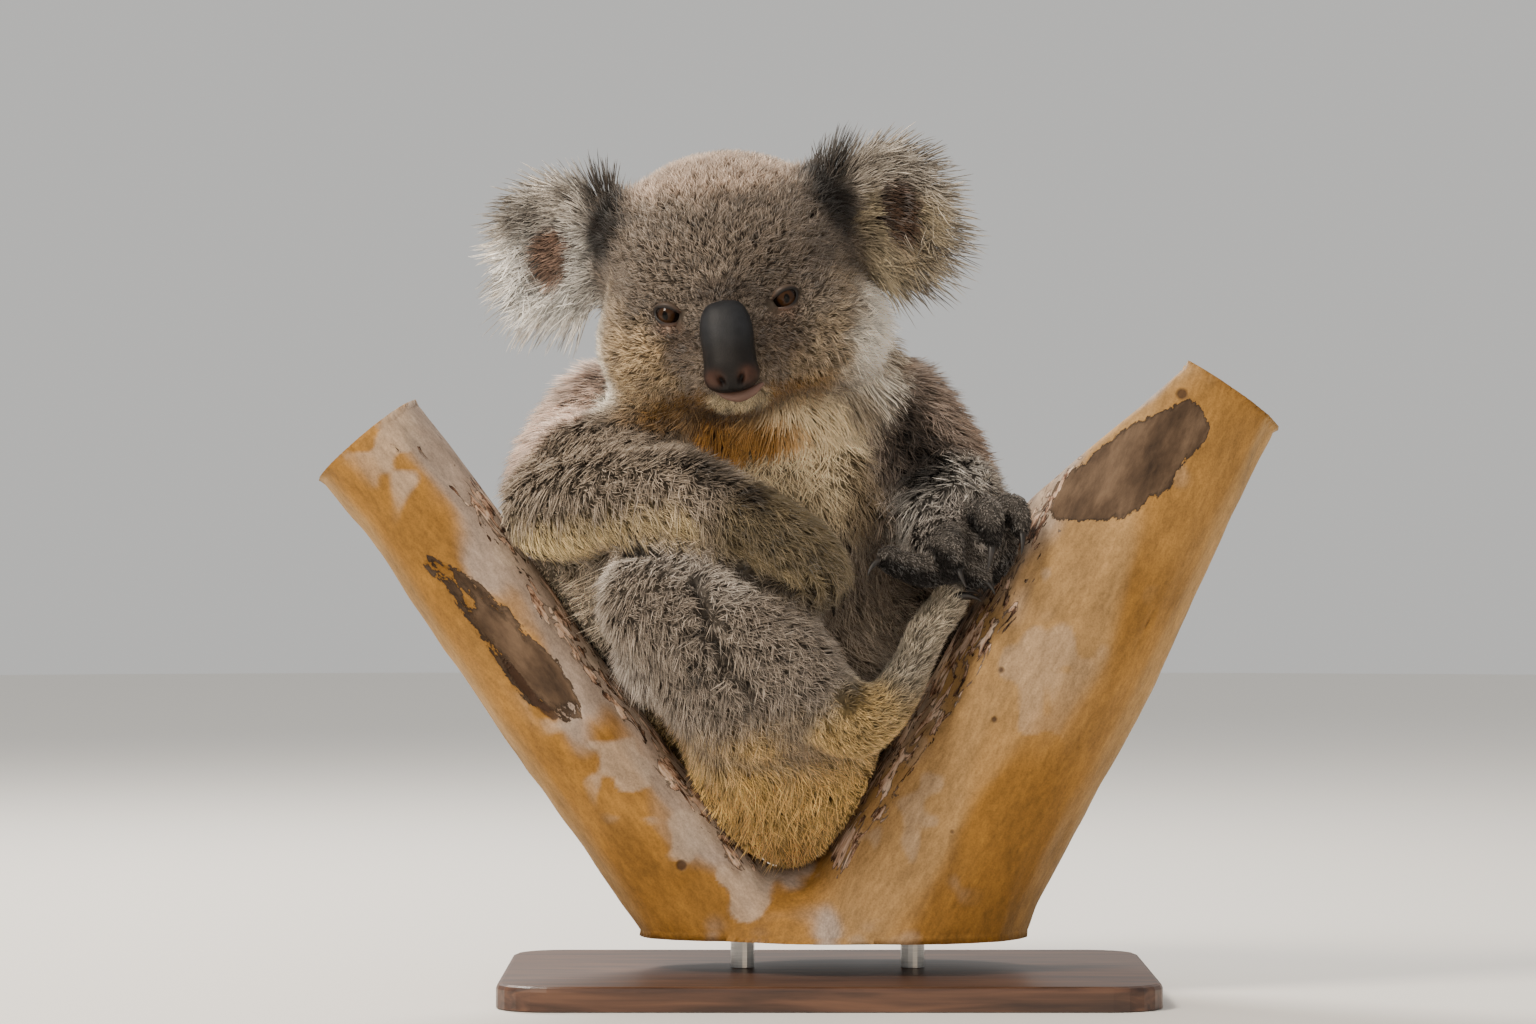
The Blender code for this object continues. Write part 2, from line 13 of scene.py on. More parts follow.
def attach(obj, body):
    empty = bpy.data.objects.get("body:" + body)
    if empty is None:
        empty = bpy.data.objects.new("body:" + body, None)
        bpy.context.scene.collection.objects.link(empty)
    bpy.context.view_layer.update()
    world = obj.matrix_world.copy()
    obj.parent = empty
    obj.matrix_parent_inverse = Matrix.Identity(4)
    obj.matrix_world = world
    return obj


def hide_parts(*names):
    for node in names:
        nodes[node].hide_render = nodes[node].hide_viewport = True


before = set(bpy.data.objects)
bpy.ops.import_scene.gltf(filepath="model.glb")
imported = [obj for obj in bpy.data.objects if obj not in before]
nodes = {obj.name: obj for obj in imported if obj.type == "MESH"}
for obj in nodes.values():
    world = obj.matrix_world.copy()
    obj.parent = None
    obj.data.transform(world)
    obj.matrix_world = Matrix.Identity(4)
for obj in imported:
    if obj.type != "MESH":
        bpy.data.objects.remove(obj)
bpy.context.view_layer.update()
forkPoint = np.array([-0.035, 0.0, 0.074])  # metres


# ---- small tools


def place(points):
    # Centimetres from the fork to metres in the model's frame.
    return np.asarray(points, float) / 100 + forkPoint


def measured(points):
    # The other way: metres in the model's frame to centimetres from the fork.
    return (np.asarray(points, float) - forkPoint) * 100


def unit(vectors):
    # Each vector divided by its length.
    return vectors / np.maximum(np.linalg.norm(vectors, axis=-1, keepdims=True), 1e-9)


def flattened(vectors, normals):
    # Vectors laid on the surface: their part along each normal taken away.
    return vectors - normals * (vectors * normals).sum(1, keepdims=True)


def reachOf(points, centre, radii):
    # How far each point is from the middle of an ellipsoid, counted as 1 on its surface.
    return np.linalg.norm((points - centre) / radii, axis=1)


def ease(x):
    # 0 below 0, 1 above 1, and the smooth cubic 3x^2 - 2x^3 between.
    x = np.clip(x, 0, 1)
    return x * x * (3 - 2 * x)


def linear(colour):
    # An sRGB hex colour as linear red, green and blue.
    parts = np.array([int(colour[i : i + 2], 16) / 255 for i in (1, 3, 5)])
    return np.where(parts <= 0.04045, parts / 12.92, ((parts + 0.055) / 1.055) ** 2.4)


def bell(x):
    # 1 at 0, falling to nothing by about 2 on either side.
    return np.exp(-(x**2))


def forward(normals):
    # 1 where the surface faces the front, falling to 0 where it faces a little backward.
    return ease(-normals[:, 1] / 0.5 + 0.4)


def circle(count):
    # So many angles, evenly spaced round a circle.
    return np.linspace(0, 2 * math.pi, count, endpoint=False)


def turning(degrees):
    # The matrix that turns about x, then y, then z.
    x, y, z = (Matrix.Rotation(math.radians(a), 3, axis) for a, axis in zip(degrees, "XYZ"))
    return np.array(z @ y @ x)


def hashed(whole, seed):
    # Three numbers from 0 to 1 for each whole-number cell: the fraction of a large sine.
    mix = np.array([[127.1, 269.5, 113.5], [311.7, 183.3, 271.9], [74.7, 246.1, 124.6]])
    return np.modf(np.abs(np.sin(whole @ mix + seed * 17.31) * 43758.5453))[0]


def noise(points, size, seed=0):
    # Smooth value noise from -1 to 1: the hashes of a cell's eight corners, eased between them.
    at = np.asarray(points, float) / size + 0.37
    low = np.floor(at)
    part = at - low
    part = part * part * (3 - 2 * part)
    total = np.zeros(len(at))
    for corner in np.ndindex(2, 2, 2):
        share = np.prod(np.where(corner, part, 1 - part), axis=1)
        total += share * hashed(low + corner, seed)[:, 0]
    return total * 2 - 1


def nearestCell(points, size, seed=0):
    # The nearest of the points scattered one to a cell of that size, with its own three random numbers.
    at = np.asarray(points, float) / size
    low = np.floor(at)
    best = np.full(len(at), 1e9)
    centre = np.zeros_like(at)
    chance = np.zeros_like(at)
    for step in np.ndindex(3, 3, 3):
        cell = low + np.array(step) - 1
        spot = cell + hashed(cell, seed)
        gap = ((spot - at) ** 2).sum(1)
        closer = gap < best
        best = np.where(closer, gap, best)
        centre[closer] = spot[closer]
        chance[closer] = hashed(cell[closer], seed + 5)
    return centre * size, chance


def dense(line, steps=14):
    # A smooth curve through the points: Catmull-Rom, so many steps to a span.
    line = np.asarray(line, float)
    whole = np.vstack([2 * line[0] - line[1], line, 2 * line[-1] - line[-2]])
    t = np.linspace(0, 1, steps, endpoint=False)[:, None]
    spans = [
        0.5 * (2 * b + (c - a) * t + (2 * a - 5 * b + 4 * c - d) * t**2 + (3 * b - a - 3 * c + d) * t**3)
        for a, b, c, d in zip(whole, whole[1:], whole[2:], whole[3:])
    ]
    return np.vstack([*spans, line[-1:]])


def lengthRun(curve):
    # The length run along a curve up to each of its points.
    return np.concatenate([[0], np.cumsum(np.linalg.norm(np.diff(curve, axis=0), axis=1))])


def beside(points, line):
    # For each point: the nearest place on the curve, the curve's direction there, and the length run.
    curve = dense(line) if len(line) > 2 else np.linspace(line[0], line[-1], 20)
    way = unit(np.gradient(curve, axis=0))
    run = lengthRun(curve)
    gap = ((points[:, None, :] - curve[None, :, :]) ** 2).sum(2)
    near = gap.argmin(1)
    return curve[near], way[near], run[near], run[-1]


def grid(rows, columns, turned=False):
    # Faces of a net of rows by columns points that closes round its columns.
    r, c = np.meshgrid(np.arange(rows - 1), np.arange(columns), indexing="ij")
    a = r * columns + c
    b = r * columns + (c + 1) % columns
    faces = np.stack([a, b, b + columns, a + columns], -1).reshape(-1, 4)
    return faces[:, ::-1] if turned else faces


def capped(rows, columns, turned=False):
    # The closed net: grid() with a point more at either end, and the fans of triangles to them.
    ring = np.arange(columns)
    first, last = rows * columns, rows * columns + 1
    start = np.stack([np.full(columns, first), (ring + 1) % columns, ring], -1)
    end = (rows - 1) * columns + np.stack([ring, (ring + 1) % columns, ring], -1)
    end[:, 2] = last
    fans = np.vstack([start, end])
    return [grid(rows, columns, turned), fans[:, ::-1] if turned else fans]


def tube(line, sides=20, steps=10, thin=1.0):
    # A closed tube of changing radius along a smooth curve. Its rings stand square to the curve,
    # turned as little as possible from one to the next, and its ends are domes.
    table = dense(line, steps)
    centre, radius = table[:, :3], table[:, 3]
    way = unit(np.gradient(centre, axis=0))
    dome = np.sin(np.linspace(0.25, 1, 4)[:-1] * math.pi / 2)
    ahead = np.cos(np.linspace(0.25, 1, 4)[:-1] * math.pi / 2)
    centre = np.vstack([
        centre[0] - way[0] * radius[0] * ahead[:, None],
        centre,
        (centre[-1] + way[-1] * radius[-1] * ahead[:, None])[::-1],
    ])
    radius = np.concatenate([radius[0] * dome, radius, (radius[-1] * dome)[::-1]])
    way = np.vstack([np.repeat(way[:1], 3, 0), way, np.repeat(way[-1:], 3, 0)])
    side = np.zeros_like(way)
    side[0] = unit(np.cross(way[0], [0.31, 0.17, 0.93]))
    for i in range(1, len(way)):
        side[i] = unit(side[i - 1] - way[i] * (side[i - 1] @ way[i]))
    up = np.cross(way, side)
    turn = circle(sides)[None, :, None]
    ring = np.cos(turn) * side[:, None] + thin * np.sin(turn) * up[:, None]
    points = (centre[:, None] + ring * radius[:, None, None]).reshape(-1, 3)
    first = table[0, :3] - way[0] * table[0, 3]
    last = table[-1, :3] + way[-1] * table[-1, 3]
    return np.vstack([points, first, last]), capped(len(radius), sides)


def store(mesh, name, values):
    # Values kept on a mesh under a name for each point: a number, a vector of 3 or a colour of 4.
    kinds = {1: ("FLOAT", "value"), 3: ("FLOAT_VECTOR", "vector"), 4: ("FLOAT_COLOR", "color")}
    kind, key = kinds[values.size // len(values)]
    layers = mesh.color_attributes if key == "color" else mesh.attributes
    layers.new(name, kind, "POINT").data.foreach_set(key, values.astype(np.float32).ravel())


def newMesh(name, points, faces, colours=None):
    # A mesh from points in centimetres and lists of faces of one or more sizes, shaded smooth.
    faces = faces if isinstance(faces, list) else [faces]
    mesh = bpy.data.meshes.new(name)
    mesh.vertices.add(len(points))
    mesh.vertices.foreach_set("co", place(points).astype(np.float32).ravel())
    sizes = np.concatenate([np.full(len(f), f.shape[1]) for f in faces])
    mesh.loops.add(int(sizes.sum()))
    mesh.loops.foreach_set("vertex_index", np.concatenate([f.ravel() for f in faces]).astype(np.int32))
    mesh.polygons.add(len(sizes))
    mesh.polygons.foreach_set("loop_start", (np.cumsum(sizes) - sizes).astype(np.int32))
    mesh.update(calc_edges=True)
    mesh.shade_smooth()
    if colours is not None:
        store(mesh, "Coat", np.column_stack([colours, np.ones(len(colours))]))
    return mesh


def newObject(name, data):
    # An object in the scene.
    made = bpy.data.objects.new(name, data)
    bpy.context.scene.collection.objects.link(made)
    return made


def addPiece(mesh, material, replaced=()):
    # A mesh as a piece of the model, in its material, standing for the solids that it replaces.
    piece = newObject(mesh.name, mesh)
    mesh.materials.append(material)
    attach(piece, "root")
    if replaced:
        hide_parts(*replaced)


def newMaterial(name, **settings):
    # A material with its shader's constants set; _ stands for a space in an input's name.
    material = bpy.data.materials.new(name)
    material.use_nodes = True
    shader = material.node_tree.nodes["Principled BSDF"]
    for key, value in settings.items():
        shader.inputs[key.replace("_", " ")].default_value = value
    return material


noiseSpan = (0.3, 0.7)  # between these lies nearly all of a noise's value


def addNode(material, kind, inputs=None, stops=None, **settings):
    # One node with its settings; inputs are values or other nodes' sockets, stops a ramp's colours.
    node = material.node_tree.nodes.new("ShaderNode" + kind)
    for key, value in settings.items():
        setattr(node, key, value)
    for key, value in (inputs or {}).items():
        if isinstance(value, bpy.types.NodeSocket):
            material.node_tree.links.new(value, node.inputs[key])
        else:
            node.inputs[key].default_value = value
    if stops:
        ramp = node.color_ramp.elements
        while len(ramp) < len(stops):
            ramp.new(0.5)
        for element, (position, colour) in zip(ramp, stops):
            element.position = position
            element.color = (*linear(colour), 1)
    return node


def stored(material, name, output="Color"):
    # What the mesh keeps under a name.
    return addNode(material, "Attribute", attribute_name=name).outputs[output]


def placeOf(material):
    # Where each point is in the model's own frame, in metres.
    return addNode(material, "TexCoord").outputs["Object"]


def stretched(material, scale):
    # The same, drawn out by a scale for each axis.
    return addNode(material, "Mapping", {"Vector": placeOf(material), "Scale": scale}).outputs["Vector"]


def addNoise(material, where, scale, detail, **more):
    # A noise's value at each place.
    inputs = {"Vector": where, "Scale": scale, "Detail": detail, **more}
    return addNode(material, "TexNoise", inputs).outputs["Fac"]


def addRange(material, value, span, low=0.0, high=1.0):
    # A value led from one range to another, and held at its ends.
    inputs = {"Value": value, "From Min": span[0], "From Max": span[1], "To Min": low, "To Max": high}
    return addNode(material, "MapRange", inputs).outputs["Result"]


def addMath(material, operation, *values):
    # Arithmetic on one, two or three values.
    return addNode(material, "Math", dict(enumerate(values)), operation=operation).outputs["Value"]


def addShade(material, colour, by):
    # A colour multiplied by a value.
    return addNode(material, "VectorMath", {0: colour, 1: by}, operation="MULTIPLY").outputs["Vector"]


def addRamp(material, value, *stops):
    # A value turned into a colour.
    return addNode(material, "ValToRGB", {"Fac": value}, stops=stops).outputs["Color"]


def addMix(material, share, below, above):
    # One colour laid over another by a share.
    return addNode(material, "Mix", {"Factor": share, 6: below, 7: above}, data_type="RGBA").outputs[2]


def finish(material, colour, height=None, strength=0.0, distance=0.0):
    # The shader takes its colour, and its bump from a height; the bump's distance is in metres.
    links, shader = material.node_tree.links, material.node_tree.nodes["Principled BSDF"]
    links.new(colour, shader.inputs["Base Color"])
    if height is not None:
        bump = addNode(material, "Bump", {"Height": height, "Strength": strength, "Distance": distance})
        links.new(bump.outputs["Normal"], shader.inputs["Normal"])


# ---- the head's own frame

headSettings = {"centre": (-2.2, -2.8, 33.2), "turn": (3, -8, -3)}  # nod, roll and yaw
headTurn = turning(headSettings["turn"])


def fromHead(points):
    # From the head's frame, nose along -y and crown up, to centimetres from the fork.
    return np.asarray(points, float) @ headTurn.T + headSettings["centre"]


def toHead(points):
    # The other way.
    return (np.asarray(points, float) - headSettings["centre"]) @ headTurn


# ---- the skin: one closed surface inside all the flesh solids

skinSettings = {
    "swell": 0.15,  # each solid grows by this, to close the gaps between neighbours
    "voxel": 0.27,
    "digitVoxel": 0.13,
    "earCup": 1.0,
    "handDepth": 0.55,  # the coat's depth on the right hand
    "digit": 1.25,  # a digit's skin is bare up to this far from its middle line
}
# Rounds of smoothing, for the shapes and then for the fields that the coat grows by.
rounds = {
    "skin": 7, "soft": 110, "hand": 3, "last": 2,
    "share": 16, "depth": 14, "normals": 3, "lie": 22, "style": 10, "length": 8,
}
earSettings = {
    "centre": {"right": (-9.1, 0.2, 4.4), "left": (9.5, 0.2, 3.7)},
    "reach": (3.7, 4.1),  # half width and half height of the leaf
    "thickness": 0.34,
    "turn": {"right": (8, -14, 16), "left": (8, 14, -16)},
}
eyeSettings = {
    "centre": (3.33, -4.95, -0.3),
    "radius": 0.79,
    "outward": 13,  # the gaze turns out from the nose by so many degrees
    "down": 6,
    "cornea": (0.11, 0.42),  # its rise as a share of the radius, and its width in radians
    "iris": 0.66,  # radians off the gaze
    "pupil": (0.15, 0.25),  # half width and half height
    "halfWidth": 0.70,
    "upper": 0.41,
    "lower": 0.44,
    "slant": 22,  # the inner corner is the lower
    "bed": 0.25,  # the hide lies so far under the ball's surface
    "socket": (52, 30),  # it does so up to the first angle, and is free by the second beyond that
}
ruff = {"centre": (7.4, 0.2, -3.0), "radii": (2.0, 4.0, 3.6)}  # long white hair below the left ear
bib = {"centre": (2.2, -5.5, 24.0), "radii": (5.6, 5.0, 5.4)}  # even cream hair on the chest
fleshNodes = [
    "head", "neck", "trunk",
    *[f"{side}_{part}" for side in ("left", "right")
      for part in ("ear", "upper_arm", "forearm", "hand", "thigh", "shin", "foot")],
]
# Depth of the coat in centimetres over each solid, from the hide out to the tips.
coatDepth = {
    "head": 0.65, "neck": 1.3, "trunk": 1.35, "ear": 0.05, "upper_arm": 1.15, "forearm": 0.95,
    "hand": 0.22, "thigh": 1.2, "shin": 0.8, "foot": 0.35,
}


def earLeaf(side):
    # A rounded leaf, cupped to the front: a disc whose middle lies deeper by cup times 1 - r^2,
    # and whose two faces part by the thickness times the square root of 1 - r^2.
    across, tall = earSettings["reach"]
    rows, columns = 24, 40
    dip = np.linspace(0, math.pi, rows + 2)[1:-1, None]
    turn = circle(columns)[None, :]
    r = np.sin(dip) ** 0.8 * np.ones_like(turn)
    deep = skinSettings["earCup"] * (1 - r**2) - np.cos(dip) * earSettings["thickness"]
    points = np.stack([across * r * np.cos(turn), deep, tall * r * np.sin(turn)], -1).reshape(-1, 3)
    poles = [[0, skinSettings["earCup"] + way * earSettings["thickness"], 0] for way in (-1, 1)]
    whole = np.vstack([points, poles]) @ turning(earSettings["turn"][side]).T + earSettings["centre"][side]
    return fromHead(whole), capped(rows, columns, turned=True)


def grown(name, by):
    # A solid's points and triangles, welded, and moved out along their normals.
    shape = bmesh.new()
    shape.from_mesh(nodes[name].data)
    bmesh.ops.remove_doubles(shape, verts=shape.verts, dist=1e-5)
    bmesh.ops.triangulate(shape, faces=shape.faces)
    shape.normal_update()
    points = np.array([measured(v.co + v.normal * by / 100) for v in shape.verts])
    faces = np.array([[v.index for v in f.verts] for f in shape.faces])
    shape.free()
    return points, faces


def joined(parts):
    # Several meshes as one: their points, and their nets of faces renumbered.
    offset, points, nets = 0, [], []
    for part, faces in parts:
        points.append(part)
        nets += [net + offset for net in (faces if isinstance(faces, list) else [faces])]
        offset += len(part)
    return np.vstack(points), nets


def treeOf(points, nets):
    # A tree for finding the nearest place on a surface, and what a ray strikes.
    return BVHTree.FromPolygons(points.tolist(), [face for net in nets for face in net.tolist()])


def remeshed(name, parts, voxel):
    # One surface round all the parts: a voxel remesh, of which only the largest shell is kept.
    rough = newObject(name, newMesh(name, *joined(parts)))
    modifier = rough.modifiers.new("voxels", "REMESH")
    modifier.mode = "VOXEL"
    modifier.voxel_size = voxel / 100
    shell = rough.evaluated_get(bpy.context.evaluated_depsgraph_get()).to_mesh()
    at = np.zeros(len(shell.vertices) * 3, np.float32)
    shell.vertices.foreach_get("co", at)
    corners = np.zeros(len(shell.loops), np.int32)
    shell.loops.foreach_get("vertex_index", corners)
    quads = corners.reshape(-1, 4)
    bpy.data.objects.remove(rough)
    label = np.arange(len(at) // 3)
    while True:
        lowest = label[quads].min(1)
        fresh = label.copy()
        np.minimum.at(fresh, quads.ravel(), np.repeat(lowest, 4))
        fresh = fresh[fresh]
        if (fresh == label).all():
            break
        label = fresh
    names, sizes = np.unique(label, return_counts=True)
    kept = label == names[sizes.argmax()]
    renumber = np.cumsum(kept) - 1
    return measured(at.reshape(-1, 3)[kept]), renumber[quads[kept[quads[:, 0]]]]


def neighbours(faces):
    # The edges of a net, both ways, and how many meet at each point.
    pairs = np.vstack([faces[:, [i, (i + 1) % faces.shape[1]]] for i in range(faces.shape[1])])
    pairs = np.vstack([pairs, pairs[:, ::-1]])
    return pairs, np.bincount(pairs[:, 0]).astype(float)


def smoothed(values, net, times, keep=0.5):
    # Each value drawn towards the mean of its neighbours, over and over.
    pairs, count = net
    flat = values.reshape(len(values), -1).astype(float)
    for _ in range(times):
        mean = np.stack(
            [np.bincount(pairs[:, 0], column[pairs[:, 1]], len(flat)) / count for column in flat.T], -1
        )
        flat = flat * keep + mean * (1 - keep)
    return flat.reshape(values.shape)


def normalsOf(points, faces):
    # The cross product of each quad's diagonals, summed at its corners.
    push = np.cross(points[faces[:, 2]] - points[faces[:, 0]], points[faces[:, 3]] - points[faces[:, 1]])
    total = np.stack(
        [np.bincount(faces.ravel(), np.repeat(push[:, k], faces.shape[1]), len(points)) for k in range(3)], -1
    )
    return unit(total)


def eyeFrame(sign):
    # Where the eye is, the way it looks, and its right and up, as rows.
    out, down = math.radians(eyeSettings["outward"]) * sign, math.radians(eyeSettings["down"])
    gaze = np.array([math.sin(out) * math.cos(down), -math.cos(out) * math.cos(down), -math.sin(down)])
    right = unit(np.cross(gaze, [0, 0, 1]))
    up = np.cross(right, gaze)
    centre = np.array(eyeSettings["centre"]) * (sign, 1, 1)
    return fromHead(centre), np.stack([gaze, right, up]) @ headTurn.T


def lidAngle(turn, sign):
    # How far the opening between the lids reaches from the gaze, as an angle at the eye's centre:
    # a lens of two half ellipses, its inner corner drawn out to a point and lower than the outer.
    around = turn + math.radians(eyeSettings["slant"]) * sign
    level, rise = np.cos(around), np.sin(around)
    tall = np.where(rise > 0, eyeSettings["upper"], eyeSettings["lower"])
    reach = 1 / np.sqrt((level / eyeSettings["halfWidth"]) ** 2 + (rise / tall) ** 2)
    corner = 0.1 * np.clip(level * sign, 0, 1) ** 6
    return np.arcsin(np.clip((reach + corner) / eyeSettings["radius"], 0, 0.97))


# Folds and partings: points on the coat, then width and depth in centimetres.
folds = [
    ([(-4.3, -11.1, 17.4), (-3.9, -11.4, 15.6), (-3.4, -11.8, 14.0), (-2.5, -11.6, 12.0),
      (-1.2, -10.8, 10.1)], 0.21, 0.75),
    ([(-3.4, -11.8, 14.0), (-4.2, -11.6, 14.1), (-4.9, -11.4, 13.7)], 0.14, 0.6),
    ([(-2.5, -11.6, 12.0), (-3.6, -11.0, 11.6), (-4.6, -11.0, 12.3)], 0.14, 0.6),
    ([(-2.4, -11.6, 12.1), (-1.6, -11.4, 11.6)], 0.14, 0.55),
    ([(-3.9, -11.4, 15.6), (-3.3, -11.4, 15.2), (-2.6, -11.2, 14.9)], 0.13, 0.5),
    ([(-3.0, -11.8, 13.0), (-2.3, -11.6, 12.9), (-1.9, -11.4, 12.4)], 0.13, 0.5),
    ([(-2.4, -11.6, 11.9), (-3.0, -11.4, 11.0), (-3.2, -11.2, 10.2)], 0.13, 0.5),
    ([(-8.6, -8.0, 18.6), (-6.6, -9.6, 18.9), (-3.3, -10.8, 18.4), (-0.7, -11.0, 17.1),
      (1.6, -10.6, 16.3)], 0.15, 0.4),
    ([(4.3, -8.2, 11.7), (4.4, -9.0, 10.6), (4.7, -9.4, 9.6)], 0.2, 0.4),
    ([(3.0, -10.2, 17.4), (3.6, -9.8, 16.4), (3.8, -9.2, 15.8)], 0.16, 0.3),
    ([(1.9, -10.6, 17.0), (2.4, -10.2, 16.2), (2.5, -9.6, 15.6)], 0.16, 0.3),
    ([(5.3, -7.8, 11.6), (5.2, -8.6, 10.7), (5.1, -9.0, 9.9)], 0.2, 0.4),
]
deepFold = 0.3  # from this depth on, a fold has its full effect on the coat


def foldAt(points, front):
    # How deep the coat is folded at each point, by the strongest of the folds' bell curves, and the
    # way off them. Distance counts across and up, not in depth, and only on what faces forward.
    total = np.zeros(len(points))
    away = np.zeros_like(points)
    wobble = 1 + 0.35 * noise(points, 0.6, 4)
    for line, width, depth in folds:
        gap = points - beside(points, line)[0]
        ahead = ease((3.2 - np.abs(gap[:, 1])) / 1.2) * front
        gap[:, 1] = 0
        square = (gap**2).sum(1)
        total = np.maximum(total, np.exp(-square / (width * wobble) ** 2) * ahead * depth)
        away += unit(gap) * (np.exp(-square / (width * 2.6) ** 2) * ahead)[:, None]
    return total, away


# The left hand, open on the limb: palm, then the five digits, each a line of places and radii.
leftHand = [
    [(10.6, -0.6, 20.9, 1.8), (10.8, -1.8, 20.3, 1.8), (11.3, -2.9, 19.5, 1.6), (11.8, -3.6, 18.8, 1.3)],
    [(11.4, -4.4, 17.9, 1.0), (10.2, -5.2, 17.5, 0.92), (9.0, -5.6, 17.4, 0.98), (7.6, -6.1, 17.8, 0.88),
     (7.0, -6.3, 18.1, 0.84)],
    [(11.3, -4.4, 17.8, 0.9), (11.8, -5.0, 17.1, 0.75), (12.4, -5.1, 16.8, 0.6)],
    [(12.0, -3.2, 20.0, 1.3), (13.3, -3.4, 19.5, 1.2), (13.3, -3.6, 18.4, 1.1), (12.6, -4.0, 17.3, 1.0)],
    [(11.0, -3.4, 19.3, 0.9), (10.4, -5.2, 19.2, 1.02), (10.4, -6.3, 18.7, 0.98), (10.7, -6.7, 17.9, 0.7)],
    [(12.0, -3.0, 20.1, 0.85), (12.6, -5.2, 20.8, 0.92), (12.8, -6.1, 20.1, 0.88), (12.9, -6.4, 19.2, 0.62)],
    [(13.0, -3.0, 20.4, 0.8), (14.0, -4.2, 21.1, 0.86), (14.5, -4.9, 20.6, 0.8), (14.6, -5.3, 19.8, 0.6)],
]


def digitGap(points):
    # How far each point is from the nearest digit's middle line.
    lines = [np.array(line)[:, :3] for line in leftHand[1:]]
    return np.min([np.linalg.norm(points - beside(points, line)[0], axis=1) for line in lines], axis=0)


# Tubes that round the flesh out, as places and radii: each ear's root in the head's frame, where
# the right one is mirrored; the slack of the right arm, which fills the crease between its halves,
# and of the flank; and the fur of the left wrist, which comes down to the thumb.
earRoots = [
    [(5.0, 0.8, 4.6, 2.4), (6.4, 0.8, 5.4, 1.9), (7.6, 0.9, 5.6, 1.2)],
    [(5.4, 0.8, 1.8, 2.2), (6.4, 0.8, 2.2, 1.7), (7.4, 0.9, 2.6, 1.1)],
]
slack = [
    [(-11.2, -2.2, 24.0, 2.9), (-8.4, -3.4, 24.4, 3.0), (-5.8, -4.4, 24.2, 2.3)],
    [(-10.2, 2.6, 20.0, 2.6), (-11.9, 2.4, 18.2, 2.5)],
    [(9.9, -1.4, 20.8, 2.5), (9.9, -2.8, 19.6, 2.45), (10.2, -3.6, 18.7, 2.05)],
]

print("skin: joining the flesh")
parts = [grown(name, skinSettings["swell"]) for name in fleshNodes
         if not name.endswith("ear") and name != "left_hand"]
parts += [grown(name, 0.1) for name in ("left_eye", "right_eye")]
for side in ("left", "right"):
    parts.append(earLeaf(side))
    for table in earRoots:
        table = np.array(table) * (np.sign(earSettings["centre"][side][0]), 1, 1, 1)
        table[:, :3] = fromHead(table[:, :3])
        parts.append(tube(table, steps=4))
parts += [tube(line, steps=6) for line in slack]
skinPoints, skinFaces = remeshed("rough_skin", parts, skinSettings["voxel"])
skinPoints = smoothed(skinPoints, neighbours(skinFaces), rounds["skin"])
soft = smoothed(skinPoints, neighbours(skinFaces), rounds["soft"])
rise = ((soft - skinPoints) * normalsOf(skinPoints, skinFaces)).sum(1)
crease = ease((1.25 - reachOf(skinPoints, (-8.0, -3.0, 25.5), (8.5, 8.0, 4.2))) / 0.5)  # of the right arm
fill = np.maximum(rise, 0) * crease
skinPoints = skinPoints + normalsOf(skinPoints, skinFaces) * fill[:, None]
skinPoints = smoothed(skinPoints, neighbours(skinFaces), rounds["last"])
handPoints, handFaces = remeshed("rough_hand", [tube(line) for line in leftHand], skinSettings["digitVoxel"])
handPoints = smoothed(handPoints, neighbours(handFaces), rounds["hand"])
handFirst = len(skinPoints)
skinPoints = np.vstack([skinPoints, handPoints])
skinFaces = np.vstack([skinFaces, handFaces + handFirst])
skinNet = neighbours(skinFaces)
print("skin:", len(skinPoints), "points")

# Which solid each point of the skin came from: the nearest triangle of them all.
shapes = [earLeaf(name.split("_")[0]) if name.endswith("ear") else grown(name, 0) for name in fleshNodes]
owners = [np.full(sum(map(len, joined([shape])[1])), i) for i, shape in enumerate(shapes)]
tree = treeOf(*joined(shapes))
skinOwner = np.concatenate(owners)[[tree.find_nearest(Vector(p))[2] for p in skinPoints]]
skinOwner[handFirst:] = fleshNodes.index("left_hand")
ownerIs = {name: skinOwner == i for i, name in enumerate(fleshNodes)}
bark = treeOf(*joined([grown(name, 0) for name in ("perch_trunk", "perch_right_limb", "perch_left_limb")]))
barkGap = np.array([bark.find_nearest(Vector(p))[3] for p in skinPoints])


def ownedBy(ending):
    # The points of every solid whose name ends so.
    return np.any([ownerIs[name] for name in fleshNodes if name.endswith(ending)], axis=0)


# ---- the fields that the coat grows by, at each point of the skin

# How much of each point is each part of the body's, smoothed so that no colour ends at a seam.
shareOf = np.eye(len(fleshNodes))[skinOwner]
shareOf[:handFirst] = smoothed(shareOf, skinNet, rounds["share"])[:handFirst]

inHead = toHead(skinPoints)
mirrored = np.column_stack([np.abs(inHead[:, 0]), inHead[:, 1:]])
isHead = ownerIs["head"]
isEar = ownedBy("_ear")
noseGap = reachOf(mirrored, (0, -8.4, -2.6), (2.2, 2.4, 3.0))
eyeGap = np.linalg.norm(mirrored - (3.5, -5.6, -0.35), axis=1)
faceShare = ease((-0.5 - mirrored[:, 1]) / 4) * isHead

